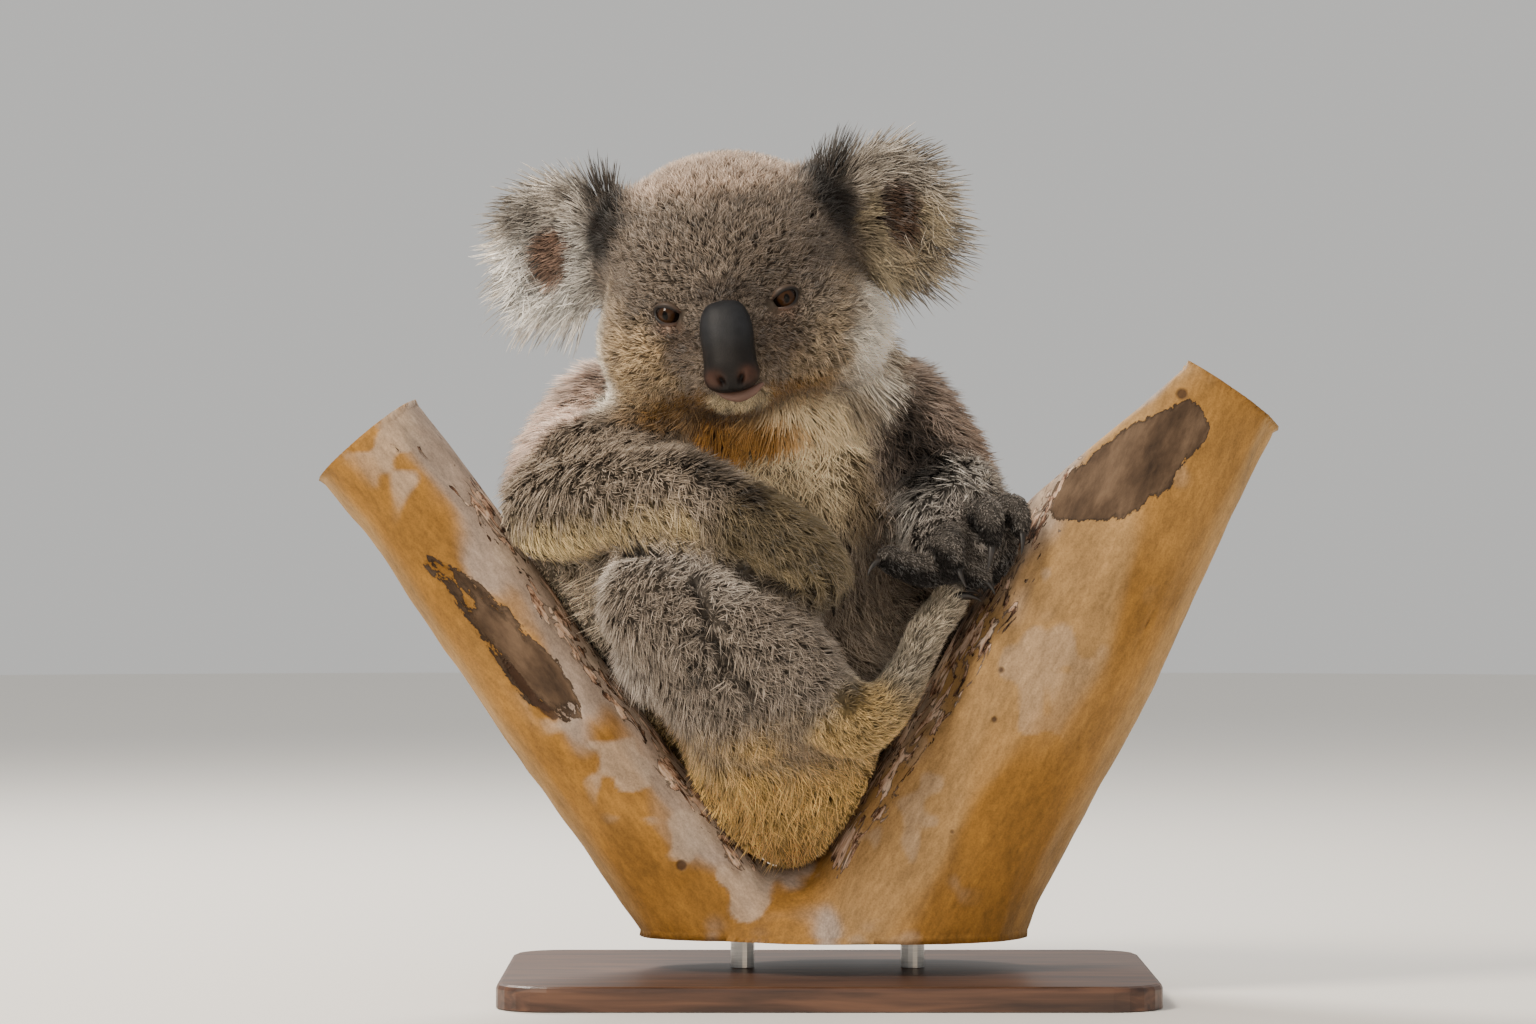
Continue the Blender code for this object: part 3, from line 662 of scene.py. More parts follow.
depth = np.zeros(len(skinPoints))
for part, value in coatDepth.items():
    depth[ownedBy(part)] = value
depth -= 0.15 * faceShare
depth *= np.where(isHead, 0.35 + 0.65 * ease((noseGap - 0.9) / 1.0), 1)
depth *= np.where(isHead, 0.30 + 0.70 * ease((eyeGap - 0.9) / 1.6), 1)
depth[ownerIs["right_hand"]] = skinSettings["handDepth"]
palmShare = ease((digitGap(skinPoints) / 1.1 - 0.9) / 0.5) * ownerIs["left_hand"]
depth[ownerIs["left_hand"]] = (0.12 + 0.6 * palmShare)[ownerIs["left_hand"]]
depth *= 0.05 + 0.95 * ease((barkGap - 0.2) / 1.3)  # the coat is pressed flat on the perch
depth = smoothed(depth, skinNet, rounds["depth"])
skinNormals = unit(smoothed(normalsOf(skinPoints, skinFaces), skinNet, rounds["normals"]))
front = forward(skinNormals)
foldDepth, foldAway = foldAt(skinPoints, front * ~isHead * ~isEar)
# Rings of slack skin on the left arm: how far apart they are, and how deep.
ringStep, ringDepth = 0.85, 0.26
x, _, z = skinPoints.T
armRun = 0.31 * x - 0.95 * z + 0.2 * noise(skinPoints, 1.2, 8)
onArm = (ownerIs["left_upper_arm"] | ownerIs["left_forearm"]) * front
onArm = onArm * ease((z - 23.0) / 0.9) * ease((27.6 - z) / 1.5) * ease((11.6 - x) / 2.0)
ringWave = -np.cos(2 * math.pi * armRun / ringStep)
foldDepth = np.maximum(foldDepth, ringDepth * ease((ringWave - 0.1) / 0.7) * onArm)
swell = np.where(np.arange(len(skinPoints)) < handFirst, skinSettings["swell"], 0)
skinPoints = skinPoints - skinNormals * (depth + swell + foldDepth * 0.8)[:, None]
skinPoints = smoothed(skinPoints, skinNet, rounds["last"])

# The hide turns in behind each eye, and leaves the opening to the lids.
for sign in (-1, 1):
    centre, (gaze, right, up) = eyeFrame(sign)
    gap = skinPoints - centre
    far = np.linalg.norm(gap, axis=1)
    lean = np.arccos(np.clip((gap @ gaze) / np.maximum(far, 1e-6), -1, 1))
    wide, fade = np.radians(eyeSettings["socket"])
    hold = (1 - ease((lean - wide) / fade)) * ease((1.9 - far) / 0.6)
    bed = eyeSettings["radius"] - eyeSettings["bed"]
    skinPoints += unit(gap) * (np.minimum(bed - far, 0) * hold)[:, None]
skinNormals = normalsOf(skinPoints, skinFaces)


# ---- the lie of the coat

limbLines = {
    "right_upper_arm": [(-5.5, 4.2, 28.6), (-8.9, 3.2, 25.3), (-11.3, 1.0, 22.8), (-12.4, -1.6, 20.8)],
    "right_forearm": [(-12.2, -2.0, 21.2), (-9.4, -5.8, 21.8), (-4.4, -8.2, 21.9), (-1.4, -9.1, 20.4)],
    "right_hand": [(-1.4, -9.1, 20.4), (-0.2, -9.2, 19.8), (1.5, -9.1, 18.8), (2.7, -8.4, 17.7)],
    "left_upper_arm": [(4.5, 4.0, 28.0), (6.7, 3.2, 25.4), (9.4, 2.2, 22.8), (10.5, 0.6, 21.6)],
    "left_forearm": [(10.2, 1.6, 22.4), (10.5, 0.2, 21.4), (10.3, -1.8, 20.4), (10.7, -3.2, 19.5)],
    "left_hand": [(10.7, -3.4, 19.5), (11.1, -4.2, 19.2), (11.7, -4.8, 18.7), (12.4, -5.2, 18.0)],
    "right_thigh": [(-5.9, -3.0, 14.4), (-3.6, -3.0, 10.0), (-0.4, -2.4, 5.0), (1.8, -1.4, 0.8)],
    "right_shin": [(-6.0, -6.9, 15.6), (-3.4, -7.7, 14.4), (0.2, -8.0, 12.2), (3.4, -7.4, 9.7)],
    "right_foot": [(3.4, -7.4, 9.7), (5.0, -7.1, 8.6), (6.7, -6.4, 9.6), (8.2, -5.4, 11.7), (9.2, -4.6, 13.8),
                   (10.5, -4.1, 15.5)],
    "left_thigh": [(9.6, 7.6, 15.2), (7.2, 6.6, 11.4), (4.6, 5.4, 6.0), (3.6, 4.6, 2.0)],
    "left_shin": [(10.2, 8.6, 14.4), (11.6, 9.6, 11.8), (12.2, 9.6, 9.6)],
    "left_foot": [(12.2, 9.6, 9.6), (12.8, 9.4, 8.6), (15.0, 8.7, 10.6), (17.2, 7.9, 13.4),
                  (18.4, 7.5, 15.2)],
}
headRoot = {"right": (-6.2, 0.8, 3.2), "left": (6.2, 0.8, 2.6)}

lie = np.tile([0.0, 0.15, -1.0], (len(skinPoints), 1))
lie[ownerIs["trunk"]] += 0.25 * unit((skinPoints - (-1.0, 3.8, 0)) * (1, 1, 0))[ownerIs["trunk"]]
lie[ownerIs["neck"]] = unit(skinPoints - (-1.6, 0.2, 31.5))[ownerIs["neck"]] * (1, 0.6, 1) + (0, 0, -0.2)
lie[isHead] = (unit(inHead - (0, -8.0, -1.4)) @ headTurn.T)[isHead]
down = ease((skinPoints[:, 1] - 1.0) / 3) * ownerIs["neck"]
lie += (np.array([0, 0.15, -1.0]) * 1.5 - lie) * down[:, None]
for side in ("right", "left"):
    ear = ownerIs[side + "_ear"]
    lie[ear] = (unit(unit(inHead - headRoot[side]) + (0, 0, -0.5)) @ headTurn.T)[ear]
for name, line in limbLines.items():
    there = ownerIs[name]
    lie[there] = beside(skinPoints[there], line)[1] + (0, 0, -0.25)
lie[ownerIs["right_forearm"]] += (0, 0, -0.5)
fluff = ease((1.4 - reachOf(inHead, ruff["centre"], ruff["radii"])) / 0.8) * isHead
lie += fluff[:, None] * (2.0, 0.3, -0.4)
outward = (unit(lie) * skinNormals).sum(1) * isEar
lie = smoothed(unit(flattened(lie, skinNormals)), skinNet, rounds["lie"])
lie = unit(flattened(lie + foldAway * 2.2, skinNormals))
print("skin: coat combed")


# ---- markings, the same for skin and coat

headMarks = [  # in the head's frame, the same on both sides: centre, radii, colour, share
    ((0, -0.5, 8.3), (7.2, 7.0, 3.6), "#a99380", 0.85),  # warm crown
    ((6.5, -1.5, 6.0), (1.9, 3.4, 2.5), "#0d0a08", 0.97),  # the dark root of each ear
    ((6.8, -1.0, 4.0), (1.2, 3.0, 1.7), "#1d1612", 0.85),
    ((6.9, -2.6, -2.2), (1.9, 3.4, 4.0), "#a8957c", 0.65),  # pale side of the face
    ((5.2, -4.6, -4.0), (2.8, 3.2, 2.6), "#ad9674", 0.75),  # tan cheek
    ((3.0, -6.2, -2.3), (2.0, 1.8, 1.5), "#4f4136", 0.8),  # dusk below the eye
    ((3.4, -5.8, -1.15), (1.2, 1.2, 0.5), "#8d7565", 0.6),  # pale skin under the eye
    ((0, -7.0, 0.4), (1.8, 1.6, 0.8), "#473d36", 0.65),  # dusk above the nose
    ((2.3, -6.8, -3.9), (1.4, 1.6, 1.3), "#7d6d5b", 0.6),
    ((3.0, -4.4, -6.0), (4.2, 3.0, 1.5), "#7c5717", 0.85),  # straw jaw
    ((0.6, -7.0, -5.9), (2.3, 2.2, 0.9), "#bfae8c", 0.9),  # pale chin
]
sideMarks = [  # in the head's frame, not mirrored
    ((-0.8, -5.7, -6.5), (0.65, 1.0, 0.6), "#0d0a08", 1.0),  # two dark fringes of the chin
    ((1.2, -5.6, -6.4), (0.75, 1.0, 0.5), "#0d0a08", 1.0),
    ((2.7, -6.4, -4.7), (0.55, 0.9, 0.4), "#2c2521", 0.85),
    ((-1.9, -7.0, -5.1), (0.45, 0.9, 0.4), "#2c2521", 0.8),
    ((-5.6, -3.9, -2.8), (2.4, 3.2, 2.4), "#c0a680", 0.6),
    ((5.4, -4.6, -2.4), (1.7, 3.0, 2.2), "#ab9d8a", 0.4),
    ((7.7, 0.0, -3.9), (2.6, 5.0, 4.3), "#fbf6ec", 1.0),  # white below the left ear
    ((-7.7, 0.2, -2.5), (1.8, 4.2, 4.2), "#efe6d6", 0.85),  # pale edge below the right ear
    ((3.2, -6.0, -2.2), (1.9, 1.7, 1.3), "#77685a", 0.4),
]
bodyMarks = [  # from the fork
    # Painted light: the straw flank is laid much paler to lift the shade it lies in.
    ((-11.4, 2, 16.4), (3.6, 6.0, 4.8), "#f0dfc6", 0.95),  # straw flank
    (bib["centre"], bib["radii"], "#eddab6", 1.0),
    # Partly painted shade: the throat's stain is darkened further, as shade under the chin.
    ((-1.4, -5.5, 25.8), (4.0, 3.0, 1.6), "#b37e2c", 0.9),  # stained throat
    ((7.4, -2.2, 30.6), (3.0, 4.2, 4.8), "#f6f0e5", 1.0),  # white ruff
    ((5.6, -3.4, 22.3), (1.9, 3.0, 3.0), "#8d7b62", 0.85),
]
# The right upper arm's pale colour is partly its own fur and partly painted light, where the sun falls on the
# shoulder.
baseColours = {
    "neck": "#aa9c89", "right_upper_arm": "#dec7b8", "right_forearm": "#a39585", "right_hand": "#766951",
    "left_upper_arm": "#a8978a", "left_forearm": "#bfbab3", "left_hand": "#a39c95", "trunk": "#978b7e",
    "right_thigh": "#a99f95", "right_shin": "#9b8f82", "right_foot": "#b3a793", "left_foot": "#a39476",
    "left_thigh": "#8f8375", "left_shin": "#8f8375",
}
# Streaks: a line on the coat, its width, its noise's seed, colour, share, and the parts it is on.
# They are painted shade along the top of the right forearm, straw and tan below it, painted shade on
# the inside of the left arm, painted light on the right knee where the arm's shadow falls, and rust beside
# the bib.
bodyStreaks = [
    # Painted shade along the top of the right forearm, under the upper arm.
    ([(-7.8, -3, 28.6), (-5.4, -7, 25.4), (-3.2, -10.2, 23.5), (-1.3, -10.6, 22.4)],
     1.25, 41, "#2b231e", 0.85, ("right_upper_arm", "right_forearm", "right_hand")),
    ([(-13.6, -2, 19.4), (-11.5, -6, 19.0), (-8.5, -8.5, 19.3), (-5.4, -9.4, 19.6)],
     1.5, 42, "#dcc695", 0.9, ("right_upper_arm", "right_forearm", "right_hand")),
    ([(-5.4, -9.4, 19.4), (-1.0, -10.4, 17.8), (2.0, -10.2, 16.8)],
     0.9, 43, "#a08f6c", 0.7, ("right_upper_arm", "right_forearm", "right_hand")),
    # Painted shade on the inside of the left arm, where it meets the chest.
    ([(6.7, -1.6, 28.0), (7.8, -1.8, 25.8), (9.0, -2.2, 23.9)],
     2.2, 45, "#140f0c", 0.95, ("left_upper_arm", "left_forearm")),
    # Painted light on the right knee, lifting the shade that the arm casts there.
    ([(-8.4, -7, 17.8), (-5.4, -8.4, 17.7), (-2.2, -9.4, 16.8)],
     1.5, 46, "#d3cac0", 0.6, ("right_thigh", "right_shin")),
    ([(4.2, -4.6, 26.4), (5.2, -4.6, 24.2), (6.0, -3.7, 22.4), (6.7, -2, 20.8)],
     0.65, 44, "#b98346", 0.8, ("trunk", "neck")),
]
earColours = {  # and where the hollow's colour lies, with its half height
    "right": {
        "hollow": "#8a6852", "long": "#fdfaf4", "upper": "#e0d8ce", "root": "#0a0706", "back": "#b8afa4",
        "spot": (0.6, 0.6, -0.3), "tall": 1.6,
    },
    "left": {
        "hollow": "#3a2116", "long": "#93866e", "upper": "#c9bfb2", "root": "#0d0a08", "back": "#b0a79c",
        "spot": (0.6, 0.6, 0.1), "tall": 2.0,
    },
}


def blended(colours, mark, weight):
    # The colours drawn towards one colour by a weight for each point.
    return colours * (1 - weight[:, None]) + linear(mark) * weight[:, None]


def layered(ground, count, *layers):
    # A ground colour for so many points, then other colours over it by their weights.
    colours = np.tile(linear(ground), (count, 1))
    for mark, weight in layers:
        colours = blended(colours, mark, weight)
    return colours


def marked(points, colours, marks, seed, within):
    # Soft-edged ellipsoids of colour, their edges frayed by noise, on one part of the body.
    fray = 1 + 0.18 * noise(points, 0.9, seed) + 0.12 * noise(points, 0.35, seed + 1)
    for centre, radii, colour, share in marks:
        reach = reachOf(points, centre, radii) * fray
        colours = blended(colours, colour, share * ease((1.15 - reach) / 0.5) * within)
    return colours


def streak(points, line, width, seed):
    # How close a point lies to a curve: 1 on it, falling to 0 past its frayed width.
    gap = np.linalg.norm(points - beside(points, line)[0], axis=1)
    return ease(1.5 - gap / (width * (1 + 0.35 * noise(points, 0.7, seed))))


def bibShare(points):
    # 1 on the bib, and 0 a little way past its edge.
    return ease((1.25 - reachOf(points, bib["centre"], bib["radii"])) / 0.5)


def earEdge(out):
    # How far out on an ear's leaf a point is: 0 in the middle and 1 on the rim.
    return np.hypot(out[:, 0] / 3.5, out[:, 2] / 4.1)


def earTint(side, out, normals):
    # An ear's colours at places given from its middle, outward, back and up.
    facing = ease(-(normals @ headTurn)[:, 1] * 1.5 + 0.4)
    shades = earColours[side]
    angle = np.arctan2(out[:, 2], out[:, 0]) * 2.2
    locks = noise(np.stack([angle, out[:, 1] * 0.4, np.hypot(out[:, 0], out[:, 2]) * 0.25], -1), 0.45, 55)
    tint = layered(
        shades["back"], len(out),
        (shades["long"], ease((1.1 - out[:, 2] / 2.2) / 1.2) * (0.35 + 0.65 * facing)),
        (shades["upper"], 0.85 * ease((out[:, 2] - 1.0 + out[:, 0] * -0.5) / 1.4) * facing),
    )
    if side == "left":
        inner = reachOf(out, (-1.3, 0.6, -0.9), (0.9, 3, 2.4))
        tint = blended(tint, "#d6c6a6", 0.85 * ease((1.2 - inner) / 0.5) * facing)
        fringe = ease((earEdge(out) - 0.72) / 0.25) * ease((out[:, 0] + 0.6) / 1.4)
        tint = blended(tint, "#cfc6b9", 0.35 * fringe)
    hollow = reachOf(out, shades["spot"], (1.3, 3, shades["tall"]))
    tint = blended(tint, shades["hollow"], 0.9 * ease((1.2 - hollow) / 0.5) * facing)
    if side == "left":
        strand = ease((-locks - 0.1) / 0.3) * ease((-0.6 - out[:, 2]) / 0.9) * ease((out[:, 0] + 0.2) / 0.8)
        tint = blended(tint, "#40332a", 0.75 * strand)
    atRoot = 0.97 * ease((-1.6 - out[:, 0]) / 0.9) * ease((out[:, 2] + 0.5) / 1.2)
    tint = blended(tint, shades["root"], atRoot)
    return tint * (1 + 0.55 * locks)[:, None]


def markings(points, shares, normals):
    # The coat's colour at each point: a base for its part of the body, then the marks on it.
    owned = {name: shares[:, i] for i, name in enumerate(fleshNodes)}
    bases = np.tile(linear("#73675b"), (len(fleshNodes), 1))
    for name, colour in baseColours.items():
        bases[fleshNodes.index(name)] = linear(colour)
    colours = shares @ bases
    x, y, z = points.T
    inside = toHead(points)
    mirrored = np.column_stack([np.abs(inside[:, 0]), inside[:, 1:]])

    # The trunk, and straw where the coat is stained below.
    fray = 1.2 * noise(points, 2.2, 20)
    low = ease((11.5 + fray - z) / 7) * (owned["right_thigh"] + owned["left_thigh"] + owned["trunk"])
    low = np.maximum(low, 0.8 * ease((9.6 + fray - z) / 3.5) * owned["right_shin"])
    low = np.maximum(low, 0.8 * ease((11.5 + fray - z) / 3) * owned["right_foot"])
    colours = blended(colours, "#d8b570", low)
    pale = ease((y - 6) / 5) * ease((13 - z) / 6) * owned["trunk"]
    colours = blended(colours, "#b3a793", pale * (0.4 + 0.4 * noise(points, 1.8, 21)))
    colours = marked(points, colours, bodyMarks, 31, owned["trunk"] + owned["neck"])
    colours = blended(colours, "#867a6e", 0.9 * ease((y - 1.0) / 3) * owned["neck"])
    # Painted light: only the right upper arm's front keeps its pale colour; behind, it takes a plainer one.
    behind = ease((normals[:, 1] + 0.1) / 0.6)
    colours = blended(colours, "#a18f80", 0.85 * behind * owned["right_upper_arm"])
    for line, width, seed, colour, share, names in bodyStreaks:
        within = sum(owned[name] for name in names)
        colours = blended(colours, colour, share * streak(points, line, width, seed) * within)
    colours = blended(colours, "#ab9f90", 0.7 * ease((17.5 - z) / 3) * ease((x - 3.5) / 2) * owned["trunk"])

    # The left hand's bare digits, paler on top.
    onDigit = (ease((skinSettings["digit"] - digitGap(points)) / 0.3) * owned["left_hand"])[:, None]
    knuckle = 0.65 * ease((normals[:, 2] + 0.2) / 0.6)[:, None]
    dark = linear("#211e1d") * (1 - knuckle) + linear("#8b847d") * knuckle
    colours = colours * (1 - onDigit) + dark * onDigit

    # The head and the ears.
    head = owned["head"]
    colours = marked(mirrored, colours, headMarks, 51, head)
    colours = marked(inside, colours, sideMarks, 52, head)
    mottle = ease((noise(points, 0.55, 53) + 0.5 * noise(points, 0.25, 54) - 0.15) / 0.5)
    colours = blended(colours, "#5b514a", 0.4 * mottle * ease((0.5 - inside[:, 2]) / 2.5) * head)
    for side, sign in (("right", -1), ("left", 1)):
        ear = owned[side + "_ear"][:, None]
        out = (inside - earSettings["centre"][side]) * (sign, 1, 1)
        colours = colours * (1 - ear) + earTint(side, out, normals) * ear

    # A grain of light and dark all over, weaker on the bib.
    grain = 0.14 * noise(points, 0.8, 62) + 0.36 * noise(points, 0.3, 63)
    drift = 1 + 0.10 * noise(points, 2.6, 61) + grain * (1 - 0.55 * bibShare(points) * (1 - head))
    return colours * drift[:, None]


# ---- tufts

# For each part: the lift in degrees at root and tip, width in centimetres, tufts to a square
# centimetre, clump size in centimetres, how far the tips draw together, and curl.
coatStyle = {
    "head": ((62, 38), 0.050, 185, 0.30, 0.30, 0.50),
    "ear": ((32, 14), 0.046, 112, 0.75, 0.30, 0.10),
    "neck": ((42, 18), 0.070, 66, 0.75, 0.45, 0.12),
    "trunk": ((52, 30), 0.078, 58, 0.45, 0.36, 0.48),
    "upper_arm": ((54, 30), 0.068, 80, 0.45, 0.36, 0.42),
    "forearm": ((56, 32), 0.064, 90, 0.45, 0.36, 0.45),
    "hand": ((40, 18), 0.050, 125, 0.3, 0.3, 0.3),
    "thigh": ((56, 34), 0.068, 82, 0.45, 0.36, 0.45),
    "shin": ((60, 40), 0.060, 108, 0.3, 0.36, 0.60),
    "foot": ((40, 18), 0.050, 120, 0.3, 0.3, 0.3),
}
coatGroups = {
    "coat_head": ["head"], "coat_right_ear": ["right_ear"], "coat_left_ear": ["left_ear"],
    "coat_neck": ["neck"], "coat_trunk": ["trunk"],
    "coat_right_arm": ["right_upper_arm", "right_forearm", "right_hand"],
    "coat_left_arm": ["left_upper_arm", "left_forearm", "left_hand"],
    "coat_right_leg": ["right_thigh", "right_shin", "right_foot"],
    "coat_left_leg": ["left_thigh", "left_shin", "left_foot"],
}
# The curve that each group's map is wrapped round; the legs and arms take their limbs' own lines.
coatLines = {
    "coat_head": fromHead([(0, 0, -3), (0, 0, 3)]),
    "coat_neck": [(-0.8, 2.4, 25), (-0.8, 2.4, 29)],
    "coat_trunk": [(0.5, 4, 6), (-0.8, 4, 23)],
}
coatSettings = {
    "seed": 11,
    "triangles": 1440000,
    "pieceTriangles": 190000,
    "patch": 0.003,  # the side of a tuft's patch of the map
    "shortest": 0.12,
    "buried": 0.12,  # how deep in the hide a tuft starts
    "rootShare": 0.45,  # of a tuft's length goes the way of its root, the rest that of its tip
    "clumpStep": 0.15,
    "cover": 3.0,  # how far off another part may be and still cover the hide
}

style = np.zeros((len(skinPoints), 7))  # lift at root, lift at tip, width, count, clump, pull, curl
for part, (lifts, width, count, clump, pull, curl) in coatStyle.items():
    style[ownedBy(part)] = (*np.radians(lifts), width, count, clump, pull, curl)
nape = ease((skinPoints[:, 1] - 2.0) / 3) * ownerIs["neck"]
for part, within in (("trunk", nape), ("forearm", palmShare)):
    style += (style[ownedBy(part)][0] - style) * within[:, None]
# Behind, the tufts are wider and fewer.
headBehind = ease((inHead[:, 1] + 0.5) / 3) * isHead
bodyBehind = ease((skinNormals[:, 1] - 0.2) / 0.4) * ~isHead
for within, wider, fewer in ((headBehind, 0.35, 0.62), (bodyBehind, 0.22, 0.35)):
    style[:, 2] *= 1 + wider * within
    style[:, 3] *= 1 - fewer * within
nearEye = ease((1.5 - eyeGap) / 0.9) * isHead
nearNose = ease((1.9 - noseGap) / 0.8) * isHead
finer = 1 - 0.45 * np.maximum(nearEye, nearNose)
style[:, 2] *= finer
style[:, 3] /= finer**1.5
style = smoothed(style, skinNet, rounds["style"])
# On an ear's rim the tufts rise as steeply as their way leaves the hide.
stand = np.arcsin(np.clip(outward, 0, 1))
style[:, 0] = np.maximum(style[:, 0], stand)
style[:, 1] = np.maximum(style[:, 1], 0.9 * stand)
calm = bibShare(skinPoints) * ~isHead
# A tuft rises as high as the coat is deep; its two halves rise at the two lifts.
rootShare = coatSettings["rootShare"]
rise = rootShare * np.sin(style[:, 0]) + (1 - rootShare) * np.sin(style[:, 1])
tuftLength = np.maximum(depth, coatSettings["shortest"]) / rise
for side in ("right", "left"):
    ear = ownerIs[side + "_ear"]
    out = (inHead - earSettings["centre"][side]) * (1 if side == "left" else -1, 1, 1)
    edge = ease((earEdge(out) - 0.35) / 0.6)
    tuftLength[ear] = (1.0 + 1.3 * edge + 0.9 * ease(-out[:, 2] / 3))[ear]
earRoot = ease((1.3 - reachOf(mirrored, (6.7, -0.4, 6.0), (2.2, 3.2, 2.2))) / 0.8) * isHead
tuftLength = tuftLength + 0.8 * earRoot + 1.3 * fluff
tuftLength *= 1 - 0.22 * calm
style[:, 0] += 0.5 * earRoot
style[:, 1] += 0.25 * fluff
inFold = np.clip(foldDepth / deepFold, 0, 1)
tuftLength = smoothed(tuftLength, skinNet, rounds["length"]) * (1 - 0.65 * inFold)
style[:, 3] *= 1 - 0.7 * inFold

# What another part or the perch covers from every side grows no coat: rays go up the normal and
# four ways beside it, and count as covered where they all strike within the reach.
shelter = treeOf(skinPoints, [skinFaces])
tangent = unit(np.cross(skinNormals, [0.3, 0.5, 0.81]))
covered = np.ones(len(skinPoints), bool)
for a, b in ((0, 0), (0.9, 0), (-0.9, 0), (0, 0.9), (0, -0.9)):
    ways = unit(skinNormals + a * tangent + b * np.cross(skinNormals, tangent))
    starts = skinPoints + skinNormals * 0.3
    for i in np.flatnonzero(covered):
        ray = Vector(starts[i]), Vector(ways[i]), coatSettings["cover"]
        covered[i] = any(shape.ray_cast(*ray)[0] is not None for shape in (bark, shelter))
print("skin: fields ready,", int(covered.sum()), "points under cover")


def unwrapped(points, line):
    # A sleeve cut open: the angle round a curve against the way along it, and past its ends the
    # angle down to the pole, both from 0 to 1.
    near, way, run, whole = beside(points, line)
    gap = points - near
    along = (gap * way).sum(1)
    flat = gap - along[:, None] * way
    side = unit(np.cross(way, [0.19, 0.93, 0.31]))
    turn = np.arctan2((flat * np.cross(way, side)).sum(1), (flat * side).sum(1))
    reach = np.linalg.norm(flat, axis=1)
    high = run + np.arctan2(along, reach) * np.median(reach)
    high = (high - high.min()) / max(np.ptp(high), 1e-6)
    return np.stack([turn / (2 * math.pi) + 0.5, high], -1)


def makeTufts(root, normal, way, length, width, style, chance, rings):
    # Each tuft is a closed spindle: a point in the hide, one or two three-sided rings, and a tip.
    # It leaves the hide at one lift and ends at a lower one; its tip is drawn to its clump's middle.
    lift, fall, _, _, clump, pull, curl = style.T
    side = np.cross(way, normal)
    lean = (chance[:, 0] - 0.5) * (0.5 + 2.0 * curl)
    way = unit(way + side * lean[:, None])
    start, end = (unit(way * np.cos(a)[:, None] + normal * np.sin(a)[:, None]) for a in (lift, fall))
    middles = np.zeros_like(root)
    kinds = np.round(clump / coatSettings["clumpStep"]).astype(int)
    swirl = np.zeros(len(root))
    for kind in np.unique(kinds):
        these = kinds == kind
        middles[these], number = nearestCell(root[these], max(kind, 1) * coatSettings["clumpStep"], 7)
        swirl[these] = number[:, 0] - 0.5
    draw = flattened(middles - root, normal)
    bend = side * ((swirl * 2.2 + (chance[:, 1] - 0.5)) * curl * length)[:, None]
    tip = root + (start * rootShare + end * (1 - rootShare)) * length[:, None] + draw * pull[:, None] + bend
    first = root + start * (length * 0.42)[:, None] + draw * (pull * 0.25)[:, None] + bend * 0.2
    second = first * 0.42 + tip * 0.58 + unit(first - root) * (length * 0.10)[:, None]
    path = unit(tip - root)
    across = unit(np.cross(path, normal))
    above = np.cross(across, path)
    points = [root - normal * coatSettings["buried"]]
    for centre, scale in [(first, 1.0), (second, 0.72)][:rings]:
        half = (width * scale * 0.5)[:, None]
        points += [
            centre + across * half - above * half * 0.35,
            centre - across * half - above * half * 0.35,
            centre + above * half * 0.75,
        ]
    points = np.stack([*points, tip], 1)
    last = points.shape[1] - 1
    faces = [(0, 2, 1), (0, 3, 2), (0, 1, 3)]
    for ring in range(1, last - 3, 3):
        for k in range(3):
            a, b = ring + k, ring + (k + 1) % 3
            faces += [(a, b, b + 3), (a, b + 3, a + 3)]
    faces += [(last - 3 + k, last - 3 + (k + 1) % 3, last) for k in range(3)]
    faces = np.array(faces)
    a, b, c = (points[:, faces[:, k]] for k in range(3))
    if (a * np.cross(b, c)).sum() < 0:
        faces = faces[:, ::-1]
    return points, faces


def tuftColours(root, base, chance, rings, fold, calm):
    # Dark at the root and paler to the tip; some tips are silvered and some dusky, except where
    # the coat is calm and even.
    shade = 1 + (chance[:, 2] - 0.5) * (1.08 - 0.85 * calm)
    # Painted shade: in folds, rings and partings the tufts are darkened by up to three quarters.
    body = base * shade[:, None] * (1 - 0.75 * np.clip(fold / deepFold, 0, 1))[:, None]
    silver = ease((chance[:, 3] - 0.55) / 0.3)[:, None]
    dusky = ease((0.22 - chance[:, 3]) / 0.1)[:, None] * (1 - calm[:, None])
    bright = np.clip(body.mean(1, keepdims=True) / 0.15, 0, 1) ** 2
    locks = noise(root, 0.34, 66) + 0.8 * (chance[:, 3] - 0.5)
    glint = 0.12 * ease((locks - 0.22) / 0.25)[:, None] * (1 - bright)  # dark fur has silver locks
    bloom = 0.13 * (0.08 + 0.92 * bright) + glint
    tip = body * 1.76 * (1 - silver) + (body * 1.86 + bloom) * silver
    tip = tip * (1 - 0.6 * dusky)
    start = body * (0.15 + 0.15 * (rings == 2) + 0.5 * calm[:, None])
    low = glint * 0.7
    stations = [body * 0.72 + low] * 3 if rings == 1 else [body * 0.95 + low] * 3 + [body * 1.1 + glint] * 3
    return np.stack([start, *stations, tip], 1)


def coatPiece(name, points, faces, colours, spot):
    # One mesh of many tufts, with the colour of each point and its patch of the sleeve's map.
    count, size, _ = points.shape
    net = (np.arange(count)[:, None, None] * size + faces[None]).reshape(-1, 3)
    mesh = newMesh(name, points.reshape(-1, 3), net, colours.reshape(-1, 3))
    half = coatSettings["patch"] / 2
    marks = [(0, -half)] + [(half, 0), (-half, 0), (0, half * 0.3)] * ((size - 2) // 3) + [(0, half)]
    flat = (spot[:, None, :] + np.array(marks)[None]).reshape(-1, 2)
    layer = mesh.uv_layers.new(name="OFBake")
    layer.data.foreach_set("uv", flat[net.ravel()].astype(np.float32).ravel())
    addPiece(mesh, woolMaterial)


def ringsOf(group):
    # Long locks bend, so they have a second ring.
    return 2 if group.endswith("ear") or group == "coat_neck" else 1


def trianglesOf(group):
    # How many triangles a tuft of the group has.
    return 6 * ringsOf(group)


